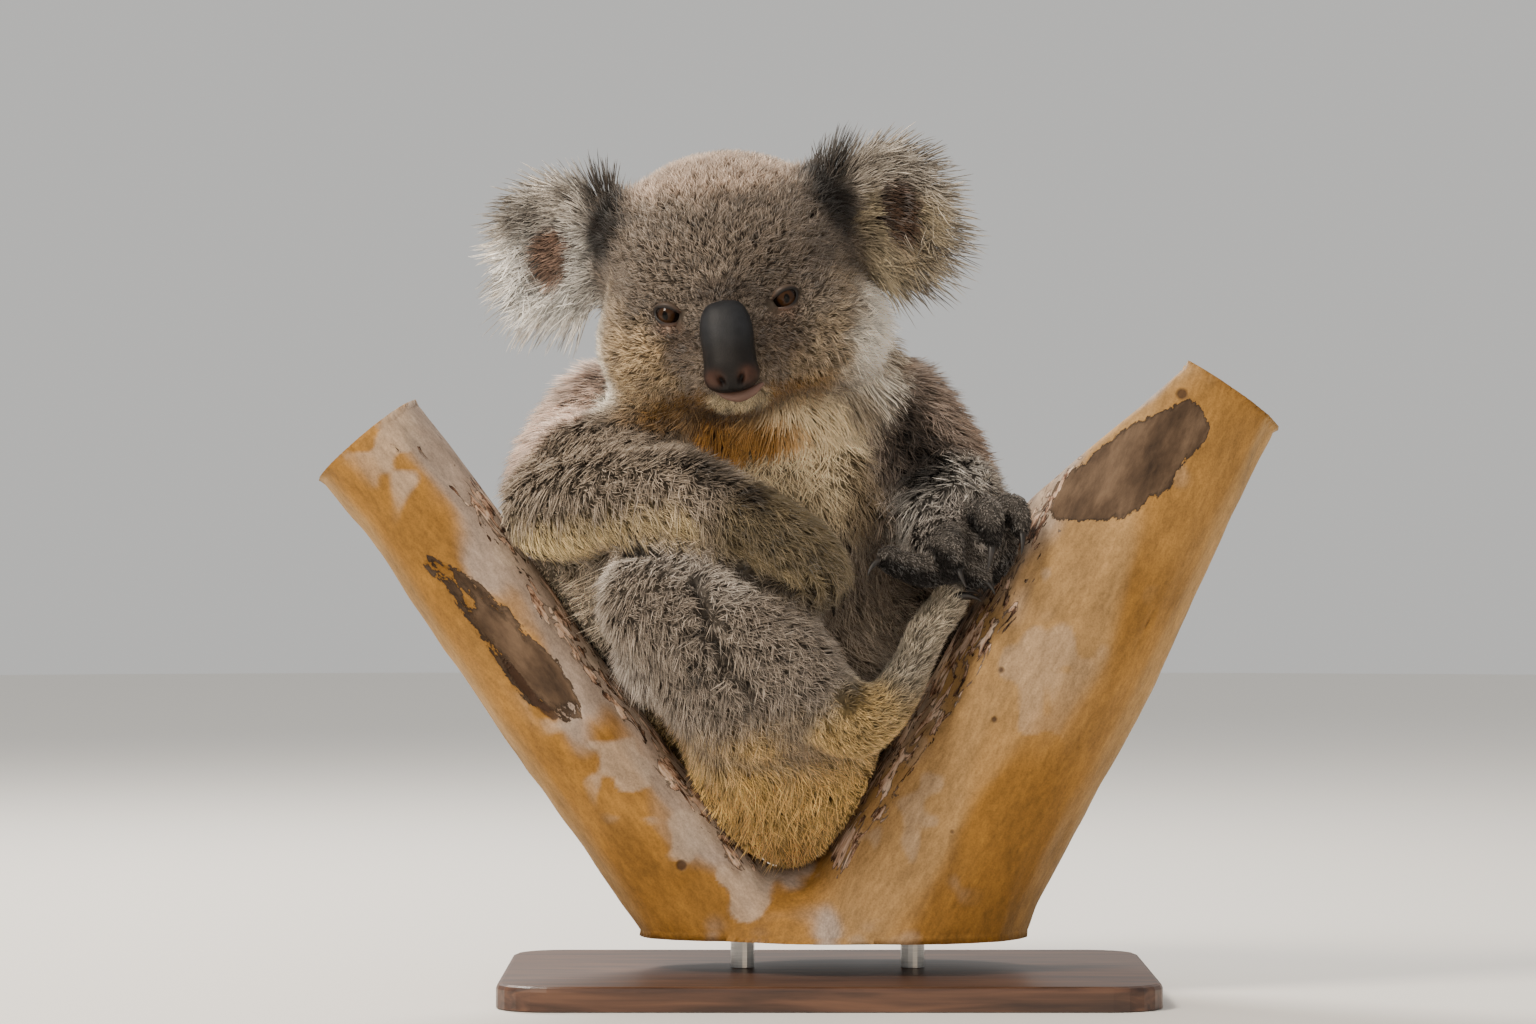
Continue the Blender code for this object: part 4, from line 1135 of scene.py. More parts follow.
# Koala wool: dense keratin fibre, matt, with a soft bloom at grazing light. Real strands are finer
# than the tufts, so a fine noise varies the colour within each tuft.
woolMaterial = newMaterial("koalaWool", Roughness=0.75, Sheen_Weight=0.08, Sheen_Roughness=0.45, IOR=1.5,
                           Specular_IOR_Level=0.18)
strands = addNoise(woolMaterial, placeOf(woolMaterial), scale=900, detail=2)
shade = addRange(woolMaterial, strands, noiseSpan, 0.86, 1.14)
finish(woolMaterial, addShade(woolMaterial, stored(woolMaterial, "Coat"), shade))

# Hide under the wool: matt skin with the same markings, ridged by the roots of the fur.
hideMaterial = newMaterial("koalaHide", Roughness=0.85, IOR=1.45, Specular_IOR_Level=0.2)
strands = addNoise(hideMaterial, placeOf(hideMaterial), scale=420, detail=4)
shade = addRange(hideMaterial, strands, noiseSpan, 0.6, 1.2)
tint = addShade(hideMaterial, stored(hideMaterial, "Coat"), shade)
finish(hideMaterial, tint, strands, strength=0.6, distance=0.0008)

# Painted shade: the hide is darkened in folds, rings and partings.
skinColours = markings(skinPoints, shareOf, skinNormals) * (1 - 0.6 * inFold)[:, None]
skinColours *= (0.35 + 0.4 * calm)[:, None]  # the hide is darker than its wool
addPiece(newMesh("skin", skinPoints, skinFaces, skinColours), hideMaterial, fleshNodes)

# Roots are scattered over the skin's triangles, in number as their area and style ask, and none
# where the hide is covered, at the eyes and under the nose.
corners = np.vstack([skinFaces[:, [0, 1, 2]], skinFaces[:, [0, 2, 3]]])
edgeA, edgeB = (skinPoints[corners[:, k]] - skinPoints[corners[:, 0]] for k in (1, 2))
area = np.linalg.norm(np.cross(edgeA, edgeB), axis=1) / 2
bare = (noseGap < 0.72) & isHead
for sign in (-1, 1):
    centre, (gaze, right, up) = eyeFrame(sign)
    gap = skinPoints - centre
    lean = np.arccos(np.clip(unit(gap) @ gaze, -1, 1))
    turn = np.arctan2(gap @ up, gap @ right)
    bare |= (lean < lidAngle(turn, sign) + math.radians(9)) & (np.linalg.norm(gap, axis=1) < 1.25)
area = area * ~bare[corners].any(1) * (1 - covered[corners].mean(1))
random = np.random.default_rng(coatSettings["seed"])
weights = {}
for group, members in coatGroups.items():
    inGroup = np.isin(skinOwner[corners[:, 0]], [fleshNodes.index(name) for name in members])
    weights[group] = area * inGroup * style[corners, 3].mean(1) * trianglesOf(group)
share = min(1, coatSettings["triangles"] / sum(weight.sum() for weight in weights.values()))
print(f"coat: {share:.2f} of the tufts that its style asks for")
total = 0
for group, members in coatGroups.items():
    weight, rings = weights[group], ringsOf(group)
    count = int(weight.sum() * share / trianglesOf(group))
    chosen = np.searchsorted(np.cumsum(weight) / weight.sum(), random.random(count))
    part = random.random((count, 2))
    part = np.where(part.sum(1, keepdims=True) > 1, 1 - part, part)
    part = np.column_stack([1 - part.sum(1), part])
    three = corners[chosen]

    def carried(values):
        # A field of the skin at each root, from its triangle's three corners.
        return np.einsum("nk,nk...->n...", part, values[three])

    root = carried(skinPoints)
    normal = unit(carried(skinNormals))
    way = unit(flattened(carried(lie), normal))
    rootStyle = carried(style)
    chance = random.random((count, 4))
    spread = 0.75 if group.endswith("ear") else 0.5
    length = carried(tuftLength) * (0.97 + spread * (chance[:, 1] - 0.5))
    width = rootStyle[:, 2] * (0.75 + 0.5 * chance[:, 0])
    ahead = forward(normal) * (rings == 1 and group != "coat_head")
    fold = np.maximum(carried(foldDepth), foldAt(root, ahead)[0])
    base = markings(root, carried(shareOf), normal)
    if group in coatLines:
        line = coatLines[group]
    elif group.endswith("ear"):
        middle = fromHead(np.array(earSettings["centre"][group.split("_")[1]]) + (0, 0.8, 0))
        line = [middle - (0, 0, 1.0), middle + (0, 0, 1.0)]
    else:
        line = np.vstack([limbLines[name] for name in members])[::2]
    spot = unwrapped(root, line)
    points, faces = makeTufts(root, normal, way, length, width, rootStyle, chance, rings)
    colours = tuftColours(root, base, chance, rings, fold, carried(calm))
    pieces = math.ceil(count * len(faces) / coatSettings["pieceTriangles"])
    order = np.argsort(spot[:, 1], kind="stable")
    for number, band in enumerate(np.array_split(order, pieces), 1):
        name = group if pieces == 1 else f"{group}_{number}"
        coatPiece(name, points[band], faces, colours[band], spot[band])
    total += count * len(faces)
    print(f"{group}: {count} tufts in {pieces} pieces")
print("coat:", total, "triangles")


# ---- eyes and lids

# Eyeball: wet cornea over an amber-brown iris with fine radial fibres and an upright slit pupil.
eyeMaterial = newMaterial("corneaOverBrownIris", Roughness=0.05, IOR=1.38, Specular_IOR_Level=0.24)
finish(eyeMaterial, stored(eyeMaterial, "Coat"))
# Lid: thin bare skin, dusky at the rim and flesh-coloured beyond it, slightly moist.
lidMaterial = newMaterial("bareLidSkin", Roughness=0.5, IOR=1.4, Subsurface_Weight=0.1,
                          Subsurface_Radius=(0.004, 0.002, 0.001))
wrinkles = addNoise(lidMaterial, placeOf(lidMaterial), scale=1500, detail=3)
finish(lidMaterial, stored(lidMaterial, "Coat"), wrinkles, strength=0.35, distance=0.0003)


def onEye(sign, radius, lean, turn):
    # Places about an eye's centre: how far out they are, how far off the gaze, and where round it.
    centre, (gaze, right, up) = eyeFrame(sign)
    flat = np.cos(turn)[..., None] * right + np.sin(turn)[..., None] * up
    return centre + radius[..., None] * (np.cos(lean)[..., None] * gaze + np.sin(lean)[..., None] * flat)


def makeEye(side, sign):
    # A ball about the gaze, its cornea raised by a bell curve, coloured by angle from the gaze.
    rows, columns = 70, 96
    lean, turn = np.meshgrid(np.linspace(0, math.pi, rows + 2), circle(columns), indexing="ij")
    lean, turn = lean.ravel(), turn.ravel()
    rise, width = eyeSettings["cornea"]
    radius = eyeSettings["radius"] * (1 + rise * bell(lean / width))
    points = onEye(sign, radius, lean, turn)
    across, tall = radius * np.sin(lean) * np.cos(turn), radius * np.sin(lean) * np.sin(turn)
    fibre = noise(np.column_stack([np.cos(turn) * 3, np.sin(turn) * 3, lean * 1.2]), 0.16, 3)
    colours = layered("#1d110a", len(points)) * (1 + 0.5 * fibre)[:, None]
    colours = blended(colours, "#392515", 0.75 * ease((0.32 - np.abs(lean - 0.40)) / 0.2))
    colours = blended(colours, "#0c0705", ease((lean - eyeSettings["iris"]) / 0.14))
    slit = np.hypot(across / eyeSettings["pupil"][0], tall / eyeSettings["pupil"][1])
    colours = blended(colours, "#050403", ease((1.25 - slit) / 0.35) * (lean < 1.2))
    # The first and the last ring are single points, and come last.
    points, colours = (np.vstack([a[columns:-columns], a[:1], a[-columns:][:1]]) for a in (points, colours))
    mesh = newMesh(side + "_eyeball", points, capped(rows, columns), colours)
    addPiece(mesh, eyeMaterial, [side + "_eye"])


def makeLids(side, sign):
    # A band round the opening: its rim rolls out from the ball, then it lies close over the ball
    # and sinks into the hide. Each step of the profile is a radius and an angle past the opening.
    ball = eyeSettings["radius"]
    profile = np.array([
        (ball - 0.07, -3), (ball + 0.01, -2.5), (ball + 0.05, -1), (ball + 0.085, 1.5), (ball + 0.115, 5),
        (ball + 0.14, 10), (ball + 0.14, 16), (ball + 0.12, 23), (ball + 0.06, 31), (ball - 0.06, 40),
        (ball - 0.25, 50),
    ])
    columns = 72
    turn = circle(columns)[None, :]
    lean = lidAngle(turn, sign) + np.radians(profile[:, 1:2])
    above = np.clip(np.sin(turn), 0, 1)
    radius = profile[:, :1] + 0.05 * above * bell((profile[:, 1:2] - 9) / 9)
    points = onEye(sign, radius, lean, turn)
    past = np.broadcast_to(profile[:, 1:2], lean.shape).ravel()
    low = np.clip(np.cos(turn) * sign * 0.6 - 0.8 * np.sin(turn), 0, 1)
    inward = np.broadcast_to(low, lean.shape).ravel()
    colours = layered(
        "#463a31", len(past),
        ("#7b5e50", 0.75 * inward),
        ("#120c0a", ease((7.5 - past) / 4) * (1 - 0.45 * inward)),
        ("#4a3f36", ease((past - 9) / 9)),
    )
    mesh = newMesh(side + "_eyelids", points.reshape(-1, 3), grid(len(profile), columns), colours)
    addPiece(mesh, lidMaterial)


for side, sign in (("right", -1), ("left", 1)):
    makeEye(side, sign)
    makeLids(side, sign)
print("eyes and lids made")


# ---- nose and mouth

noseSettings = {
    # z, middle y, half width, how far it stands forward
    "stations": [
        (0.02, -6.75, 0.10, 0.10), (-0.12, -6.80, 0.80, 0.65), (-0.45, -6.90, 1.18, 0.98),
        (-1.1, -7.05, 1.44, 1.25), (-1.9, -7.25, 1.53, 1.40), (-2.7, -7.48, 1.48, 1.46),
        (-3.6, -7.75, 1.52, 1.50), (-4.3, -7.90, 1.60, 1.42), (-4.85, -8.0, 1.36, 1.12),
        (-5.15, -8.05, 0.80, 0.70), (-5.24, -8.05, 0.10, 0.10),
    ],
    "middle": -0.1,
    # Centre on the left; half sizes; the nostril's depth, and its slant in radians.
    "nostril": (0.56, -9.05, -4.50),
    "nostrilSize": (0.36, 0.19),
    "nostrilDepth": 0.45,
    "nostrilSlant": 1.15,
    "lobe": (0.98, -9.05, -4.30),
    "lobeSize": (0.52, 0.50),
}

# Rhinarium: smooth leathery skin, fine-pebbled at about half a millimetre, with a dull moist gloss.
noseMaterial = newMaterial("leatheryNosePad", Roughness=0.52, IOR=1.4, Specular_IOR_Level=0.28)
where = placeOf(noseMaterial)
pebbles = addNode(noseMaterial, "TexVoronoi", {"Vector": where, "Scale": 1500}).outputs["Distance"]
shade = addRange(noseMaterial, addNoise(noseMaterial, where, scale=130, detail=4), noiseSpan, 0.75, 1.25)
tint = addShade(noseMaterial, stored(noseMaterial, "Coat"), shade)
finish(noseMaterial, tint, pebbles, strength=0.3, distance=0.0003)


def makeNose():
    # Rounded sections stacked down the face, each a superellipse; the nostrils are slanted bell
    # curves pressed in, and a shallow groove parts them.
    table = dense(noseSettings["stations"], 12)
    high, middle, half, ahead = (table[:, k : k + 1] for k in range(4))
    columns = 96
    turn = circle(columns)[None, :]
    s, c = np.sin(turn), np.cos(turn)
    across = noseSettings["middle"] + half * np.sign(s) * np.abs(s) ** 0.8
    deep = middle - ahead * np.sign(c) * np.abs(c) ** 0.85
    points = np.stack([across, deep, np.broadcast_to(high, across.shape)], -1).reshape(-1, 3)
    beyond = ((0, 0.03), (-1, -0.03))
    poles = [[noseSettings["middle"], table[end, 1], table[end, 0] + past] for end, past in beyond]
    points = np.vstack([points, poles])
    fromMiddle = points - (noseSettings["middle"], 0, 0)
    # Painted sheen: the upper part of the pad is laid paler and bluer, as a reflection of light from above.
    colours = layered("#151211", len(points), ("#24262a", 0.7 * ease((points[:, 2] + 3.2) / 1.8)))
    for sign in (-1, 1):
        lobe = fromMiddle - np.array(noseSettings["lobe"]) * (sign, 1, 1)
        wide, tall = noseSettings["lobeSize"]
        brown = np.exp(-((lobe[:, 0] / wide) ** 2) - (lobe[:, 2] / tall) ** 2) * (points[:, 1] < -7.4)
        colours = blended(colours, "#412a20", 0.75 * ease(brown * 1.4))
        gap = fromMiddle - np.array(noseSettings["nostril"]) * (sign, 1, 1)
        slant = noseSettings["nostrilSlant"] * sign
        along = gap[:, 0] * math.cos(slant) + gap[:, 2] * math.sin(slant)
        over = -gap[:, 0] * math.sin(slant) + gap[:, 2] * math.cos(slant)
        wide, tall = noseSettings["nostrilSize"]
        press = np.exp(-((along / wide) ** 2) - (over / tall) ** 2) * (points[:, 1] < -7.6)
        points[:, 1] += noseSettings["nostrilDepth"] * press
        points[:, 2] += 0.05 * press
        # Painted shade: the nostrils are darkened where they are pressed deepest.
        colours = blended(colours, "#0f0908", ease((press - 0.45) / 0.4))
    groove = bell(fromMiddle[:, 0] / 0.09) * ease((-3.9 - points[:, 2]) / 0.6)
    points[:, 1] += 0.08 * groove * (points[:, 1] < -8.4)
    mesh = newMesh("nose_pad", fromHead(points), capped(len(table), columns, turned=True), colours)
    addPiece(mesh, noseMaterial, ["nose"])


def makeLips():
    # A soft roll of skin along a curve under the nose, thicker in the middle.
    line = np.array([(-1.1, -7.8, -5.0, 0.10), (-0.6, -8.2, -5.32, 0.22), (0.15, -8.35, -5.50, 0.32),
                     (0.9, -8.1, -5.32, 0.28), (1.5, -7.6, -5.0, 0.12)])
    points, faces = tube(np.column_stack([fromHead(line[:, :3]), line[:, 3]]), sides=24)
    across = toHead(points)[:, 0]
    colours = layered(
        "#5e463c", len(points),
        ("#6c5147", ease((across - 0.5) / 0.8)),
        ("#2f221d", ease((np.abs(across - 0.4) - 1.2) / 0.6)),
    )
    addPiece(newMesh("lips", points, faces, colours), lidMaterial)


makeNose()
makeLips()
print("nose and mouth made")


# ---- claws

clawSettings = {"rings": 14, "sides": 14, "radius": 0.33, "taper": 0.7}

# Claw horn: dark keratin, ribbed finely along its length, with a worn gloss.
hornMaterial = newMaterial("darkClawHorn", Roughness=0.5, IOR=1.54)
cloud = addNoise(hornMaterial, placeOf(hornMaterial), scale=260, detail=5)
tint = addRamp(hornMaterial, cloud, (0.3, "#0f0d0c"), (0.55, "#1c1816"), (0.8, "#332b27"))
finish(hornMaterial, tint, cloud, strength=0.25, distance=0.0002)

# Root, knuckle and point of each claw.
claws = {
    "right_hand": [
        ((1.6, -6.7, 16.2), (1.7, -5.9, 15.8), (1.7, -5.4, 14.8)),
        ((2.7, -6.5, 15.9), (2.8, -5.7, 15.5), (2.8, -5.2, 14.5)),
        ((3.7, -6.1, 16.1), (3.8, -5.3, 15.7), (3.8, -4.8, 14.7)),
        ((4.3, -5.6, 17.0), (4.4, -4.8, 16.6), (4.4, -4.3, 15.6)),
        ((4.2, -5.5, 18.0), (4.3, -4.8, 17.7), (4.4, -4.3, 16.8)),
    ],
    "left_hand": [
        ((6.9, -6.1, 18.1), (6.0, -6.7, 18.1), (5.7, -7.1, 17.1)),
        ((12.4, -5.1, 16.8), (12.9, -5.5, 16.7), (13.1, -5.9, 16.0)),
        ((10.9, -6.3, 18.0), (10.9, -7.2, 17.4), (11.4, -7.3, 16.4)),
        ((13.0, -6.2, 19.3), (12.9, -6.9, 18.5), (12.6, -6.9, 17.3)),
        ((14.6, -5.1, 20.1), (14.8, -5.9, 19.4), (14.6, -6.1, 18.3)),
    ],
    "right_foot": [
        ((11.0, -4.9, 15.9), (11.7, -5.0, 16.1), (12.4, -4.8, 15.6)),
        ((11.1, -3.7, 16.2), (11.8, -3.6, 16.4), (12.5, -3.2, 15.9)),
        ((10.9, -2.5, 16.3), (11.6, -2.3, 16.5), (12.4, -1.9, 16.0)),
        ((10.5, -1.5, 15.9), (11.2, -1.2, 16.1), (12.0, -0.8, 15.6)),
    ],
    "left_foot": [
        ((20.8, 5.9, 16.0), (21.5, 5.6, 16.5), (22.2, 4.8, 16.4)),
        ((21.0, 6.6, 18.3), (21.6, 6.4, 19.0), (22.2, 5.6, 19.2)),
        ((19.9, 7.1, 19.4), (20.4, 7.0, 20.2), (20.8, 6.2, 20.6)),
        ((18.2, 7.4, 19.2), (18.4, 7.3, 20.0), (18.7, 6.5, 20.6)),
    ],
}


def makeClaw(name, root, knuckle, tip):
    # A horn along the curve from its root to its point, its radius falling as a power of 1 - t.
    root, knuckle, tip = (np.array(p, float) for p in (root, knuckle, tip))
    t = np.linspace(0, 0.97, clawSettings["rings"])[:, None]
    centre = (1 - t) ** 2 * root + 2 * t * (1 - t) * knuckle + t**2 * tip
    radius = clawSettings["radius"] * (1 - t) ** clawSettings["taper"]
    points, faces = tube(np.hstack([centre, radius]), clawSettings["sides"], 1, thin=0.8)
    addPiece(newMesh(name + "_horn", points, faces), hornMaterial, [name])


for limb, rows in claws.items():
    for number, row in enumerate(rows, 1):
        makeClaw(f"{limb}_claw_{number}", *row)
print("claws made")


# ---- the perch

perchSettings = {"voxel": 0.21, "smoothing": 14, "edge": 0.25, "crack": 0.25, "wound": 0.55}
# The way that each cut end faces.
perchCuts = {
    "perch_right_limb": (-4.4, 0.4, 5.2),
    "perch_left_limb": (4.1, 0.5, 6.6),
    "perch_trunk": (0, 0, -1),
}
limbAxes = {"right": [(-3.6, 0, -2.2), (-30, 1.4, 31.8)], "left": [(10.0, 0, 0.1), (28.7, 1.3, 34.0)]}
innerSides = {"right": (0.74, -0.15, 0.66), "left": (-0.90, -0.15, 0.43)}  # the ways they face
# Rolls of old bark that fill the bottom of the fork: places and radii.
litter = [
    [(0.9, -2.2, -1.3, 0.8), (1.1, -0.6, -0.85, 1.0), (1.3, 1.0, -0.9, 1.0), (1.6, 3.0, -1.6, 0.9)],
    [(2.2, -1.6, -0.8, 0.8), (2.4, 0.4, -0.3, 0.9), (2.6, 2.4, -1.0, 0.8)],
]
# Places where a darker bark still sits: points on the surface with the half width there. The first
# is sunk, as a healed wound is.
barkScars = [
    [(-19.6, -3.0, 17.8, 0.5), (-17.4, -3.8, 15.9, 1.1), (-15.2, -3.9, 13.3, 1.5), (-13.0, -3.9, 10.9, 1.5),
     (-11.6, -3.9, 9.4, 0.9)],
    [(17.3, -4.0, 21.6, 1.3), (19.4, -5.2, 22.4, 2.2), (21.8, -5.5, 24.0, 2.3), (24.2, -5.2, 25.7, 1.5)],
    [(-21.0, -2.0, 23.6, 0.5), (-22.0, -2.0, 24.6, 0.5)],
    [(14.4, 5.2, 10.0, 1.2), (16.6, 5.6, 14.0, 1.9), (18.6, 5.4, 17.0, 1.0)],
    [(-9.0, 3.6, 7.0, 0.9), (-11.6, 3.6, 10.0, 1.4), (-14.0, 3.6, 13.4, 0.8)],
]
barkCracks = [
    [(1.0, -7.6, 0.6, 0.30), (1.5, -8.2, -1.0, 0.22), (2.2, -8.6, -3.9, 0.12)],
    [(1.8, -8.4, -0.6, 0.12), (1.4, -8.8, -2.6, 0.08)],
    [(-18.6, -3.4, 15.6, 0.12), (-16.2, -3.6, 12.9, 0.22), (-13.7, -3.5, 10.0, 0.28),
     (-12.4, -3.7, 8.9, 0.30)],
    [(22.4, -4.6, 15.0, 0.10), (21.2, -4.4, 13.0, 0.16), (20.6, -4.2, 12.0, 0.08)],
]
# Small knots: centre on the surface and radius.
barkKnots = [
    (18.5, -5.2, 16.4, 0.45), (13.4, -5.5, 11.7, 0.28), (13.1, -5.6, 8.8, 0.25), (16.8, -5.9, 4.8, 0.25),
    (24.0, -4.6, 27.6, 0.4), (-16.8, -3.6, 20.2, 0.42), (-5.0, -4.2, 0.3, 0.35), (8.0, -7.0, -2.2, 0.22),
    (10.6, -6.4, 2.4, 0.2), (20.4, 4.8, 21.0, 0.5), (-9.8, 3.9, 4.6, 0.4),
]

# Smooth gum bark: thin matt skin, ochre where last year's bark has gone, grey and pink where it
# still hangs, peeled in dark thin flakes of about 6 mm along the inner edges of the fork.
barkMaterial = newMaterial("smoothGumBark", Roughness=0.7, IOR=1.45, Specular_IOR_Level=0.3)


def finishBark(bark):
    # Three masks are painted on the mesh: red for scars, green for flakes and blue for cracks.
    spot, drawn = placeOf(bark), stored(bark, "Grain", "Vector")
    masks = addNode(bark, "SeparateColor", {"Color": stored(bark, "Masks")}).outputs
    cloud = addNoise(bark, drawn, scale=60, detail=9, Roughness=0.66)
    wander = addNoise(bark, drawn, scale=150, detail=6, Roughness=0.7)
    shade = addRange(bark, cloud, noiseSpan, 0.68, 1.28)
    speck = addRange(bark, addNoise(bark, spot, scale=900, detail=3), (0.25, 0.6), 0.76, 1.05)
    thread = addRange(bark, addNoise(bark, drawn, scale=420, detail=4), noiseSpan, 0.80, 1.14)
    shade = addMath(bark, "MULTIPLY", addMath(bark, "MULTIPLY", shade, speck), thread)
    colour = addShade(bark, stored(bark, "Coat"), shade)

    # Scars: the painted field meets the noise, so that its edge runs ragged but crisp, and darker.
    ragged = addMath(bark, "ADD", masks["Red"], wander)
    scar = addRange(bark, ragged, (0.98, 1.01))
    tint = addRamp(bark, cloud, (0.3, "#271b12"), (0.5, "#503e2e"), (0.7, "#745e49"))
    tint = addShade(bark, tint, addRange(bark, ragged, (1.01, 1.12), 0.45, 1.0))
    colour = addMix(bark, scar, colour, tint)

    # Flakes: ragged tongues drawn out along the limb, dark at their curled edges and pinkish
    # inside, more of them where the field is stronger.
    tongue = addNoise(bark, drawn, scale=160, detail=4, Distortion=1.2)
    hung = addMath(bark, "MULTIPLY_ADD", tongue, 1.7, masks["Green"])
    flake = addRange(bark, hung, (1.50, 1.53))
    tint = addRamp(bark, wander, (0.36, "#2c1e17"), (0.44, "#6a4a38"), (0.50, "#b8967d"), (0.62, "#e0c8b2"))
    tint = addShade(bark, tint, addRange(bark, hung, (1.57, 1.64), 0.22, 1.0))
    colour = addMix(bark, flake, colour, tint)

    # Knots are dark discs with soft edges; the cracks of the fork are as dark, partly dark wood and partly
    # painted shade deep in the cracks and the crotch.
    dark = addRange(bark, addMath(bark, "ADD", masks["Blue"], wander), (1.0, 1.15))
    for *centre, radius in barkKnots:
        inputs = {0: spot, 1: tuple(float(c) for c in place(centre))}
        off = addNode(bark, "VectorMath", inputs, operation="DISTANCE").outputs["Value"]
        dark = addMath(bark, "MAXIMUM", dark, addRange(bark, off, (radius * 0.011, radius * 0.007)))
    colour = addMix(bark, addMath(bark, "MULTIPLY", dark, 0.85), colour, (*linear("#3a2619"), 1))
    relief = cloud
    for part, height in ((flake, 0.5), (scar, -0.5), (dark, -0.8)):
        relief = addMath(bark, "MULTIPLY_ADD", part, height, relief)
    finish(bark, colour, relief, strength=0.7, distance=0.0014)


finishBark(barkMaterial)

# Sawn gum wood: dry pale end grain with growth rings about 4 mm apart that waver a little.
sawnMaterial = newMaterial("sawnGumWood", Roughness=0.8, IOR=1.45)
cloud = addNoise(sawnMaterial, placeOf(sawnMaterial), scale=60, detail=6)
wave = addMath(sawnMaterial, "MULTIPLY_ADD", cloud, 0.35, stored(sawnMaterial, "Rings", "Fac"))
wave = addMath(sawnMaterial, "SINE", addMath(sawnMaterial, "MULTIPLY", wave, 15.0))
tint = addRange(sawnMaterial, wave, (-1.0, 1.0))
tint = addRamp(sawnMaterial, tint, (0.0, "#8f6a48"), (0.3, "#bd9a70"), (1.0, "#d8bd97"))
finish(sawnMaterial, tint, wave, strength=0.3, distance=0.0003)


def nearLine(points, table, soft):
    # 1 on a line of places and radii, 0.5 at its radius, and 0 a soft width beyond.
    table = np.asarray(table, float)
    near, _, run, whole = beside(points, table[:, :3])
    steps = lengthRun(table[:, :3])
    radius = np.interp(run / whole * steps[-1], steps, table[:, 3])
    return np.clip(0.5 + (radius - np.linalg.norm(points - near, axis=1)) / (2 * soft), 0, 1)


def perchSurface():
    # One log from the three solids: remeshed and smoothed, its cut ends pressed flat again, then
    # swollen, cracked and knotted. Gives its points, faces, normals, growth rings, ends and cracks.
    parts = [grown(name, 0.03) for name in perchCuts] + [tube(line, steps=6) for line in litter]
    plain, faces = remeshed("rough_bark", parts, perchSettings["voxel"])
    points = smoothed(plain, neighbours(faces), perchSettings["smoothing"])
    rings = np.zeros(len(points))
    ends = np.zeros(len(points), bool)
    for name, way in perchCuts.items():
        way = unit(np.array(way, float))
        top = (grown(name, 0)[0] @ way).max()
        flat = (plain @ way) > top - perchSettings["edge"]
        points[flat] = plain[flat] + (top - plain[flat] @ way)[:, None] * way
        rings[flat] = np.linalg.norm(points[flat] - points[flat].mean(0), axis=1)
        ends |= flat
    normals = normalsOf(points, faces)
    relief = 0.10 * noise(points, 4.0, 71) + 0.05 * noise(points, 1.5, 72) - 0.10
    cracks = np.max([nearLine(points, line, 0.25) for line in barkCracks], axis=0)
    for *centre, radius in barkKnots:
        gap = np.linalg.norm(points - centre, axis=1)
        relief += 0.18 * bell(gap / (radius * 2.2)) - 0.12 * bell(gap / (radius * 0.7))
    relief -= perchSettings["crack"] * cracks
    points += normals * (relief * ~ends)[:, None]
    wound = ease((nearLine(points, barkScars[0], 0.7) - 0.5) / 0.4)
    points -= normals * (perchSettings["wound"] * wound * ~ends)[:, None]
    return points, faces, normals, rings, ends, cracks


def makePerch():
    # The log with its colours: ochre, paler and pinker on the inner sides, and the painted masks.
    points, faces, normals, rings, ends, cracks = perchSurface()
    high = np.clip(points[:, 2] / 30, 0, 1)
    isLeft = ease((points[:, 0] - 2.0) / 3)
    shares = {"right": (1 - isLeft)[:, None], "left": isLeft[:, None]}
    inward = sum(np.array(way) * shares[side] for side, way in innerSides.items())
    facing = (normals * unit(inward)).sum(1)
    pale = 0.55 * ease((facing + 0.35 + 0.5 * noise(points, 5, 78)) / 0.5) * isLeft
    pink = ease((facing + 0.5 * noise(points, 2.6, 74) - 0.25 - 0.5 * isLeft) / 0.5)
    patch = ease((noise(points, 3.4, 75) + 0.4 * noise(points, 1.1, 76) - 0.35) / 0.15)
    patch *= ease((facing + 0.4) / 0.6)
    rust = ease((nearLine(points, [(1.6, -8.4, -1, 0.6), (2.4, -8.8, -4.0, 0.4)], 0.6) - 0.2) / 0.6)
    colours = layered(
        "#8f6426", len(points),
        ("#a3773b", ease(noise(points, 6, 73) * 0.9 + high)),
        ("#ab8c62", pale),
        ("#a5968b", 0.85 * pink),
        ("#b9a693", (0.6 - 0.3 * isLeft) * patch),
        ("#b1966b", 0.4 * ease((-facing - 0.55) / 0.4)),
        ("#7a4a22", 0.7 * rust),
    )
    scars = np.max([nearLine(points, line, 0.7) for line in barkScars], axis=0)
    strip = ease((facing - 0.55) / 0.35) * ease((points[:, 2] + 1.5) / 2) * ease((29 - points[:, 2]) / 8)
    flakes = np.maximum(strip * (0.70 + 0.14 * noise(points, 2.0, 77)), 0.24 * ease((facing + 0.1) / 0.7))
    drawn = np.zeros_like(points)
    for side, (low, top) in limbAxes.items():
        way = unit(np.array(top) - low)
        drawn += shares[side] * (points - 0.62 * (points @ way)[:, None] * way) / 100
    mesh = newMesh("gum_fork", points, faces, colours)
    store(mesh, "Masks", np.column_stack([scars, flakes, cracks, np.ones(len(points))]))
    store(mesh, "Grain", drawn)
    store(mesh, "Rings", rings)
    addPiece(mesh, barkMaterial, perchCuts)
    mesh.materials.append(sawnMaterial)
    mesh.polygons.foreach_set("material_index", ends[faces].all(1).astype(np.int32))


makePerch()
print("perch made")


# ---- the stand

# Walnut, planed and oiled: fine dark grain along the board, with a low sheen.
walnutMaterial = newMaterial("oiledWalnut", Roughness=0.42, IOR=1.5)
grain = addNoise(walnutMaterial, stretched(walnutMaterial, (1.6, 22, 22)), scale=7, detail=8, Distortion=0.6)
tint = addRamp(walnutMaterial, grain, (0.3, "#33211a"), (0.5, "#523729"), (0.7, "#6b4a36"))
finish(walnutMaterial, tint, grain, strength=0.15, distance=0.0003)

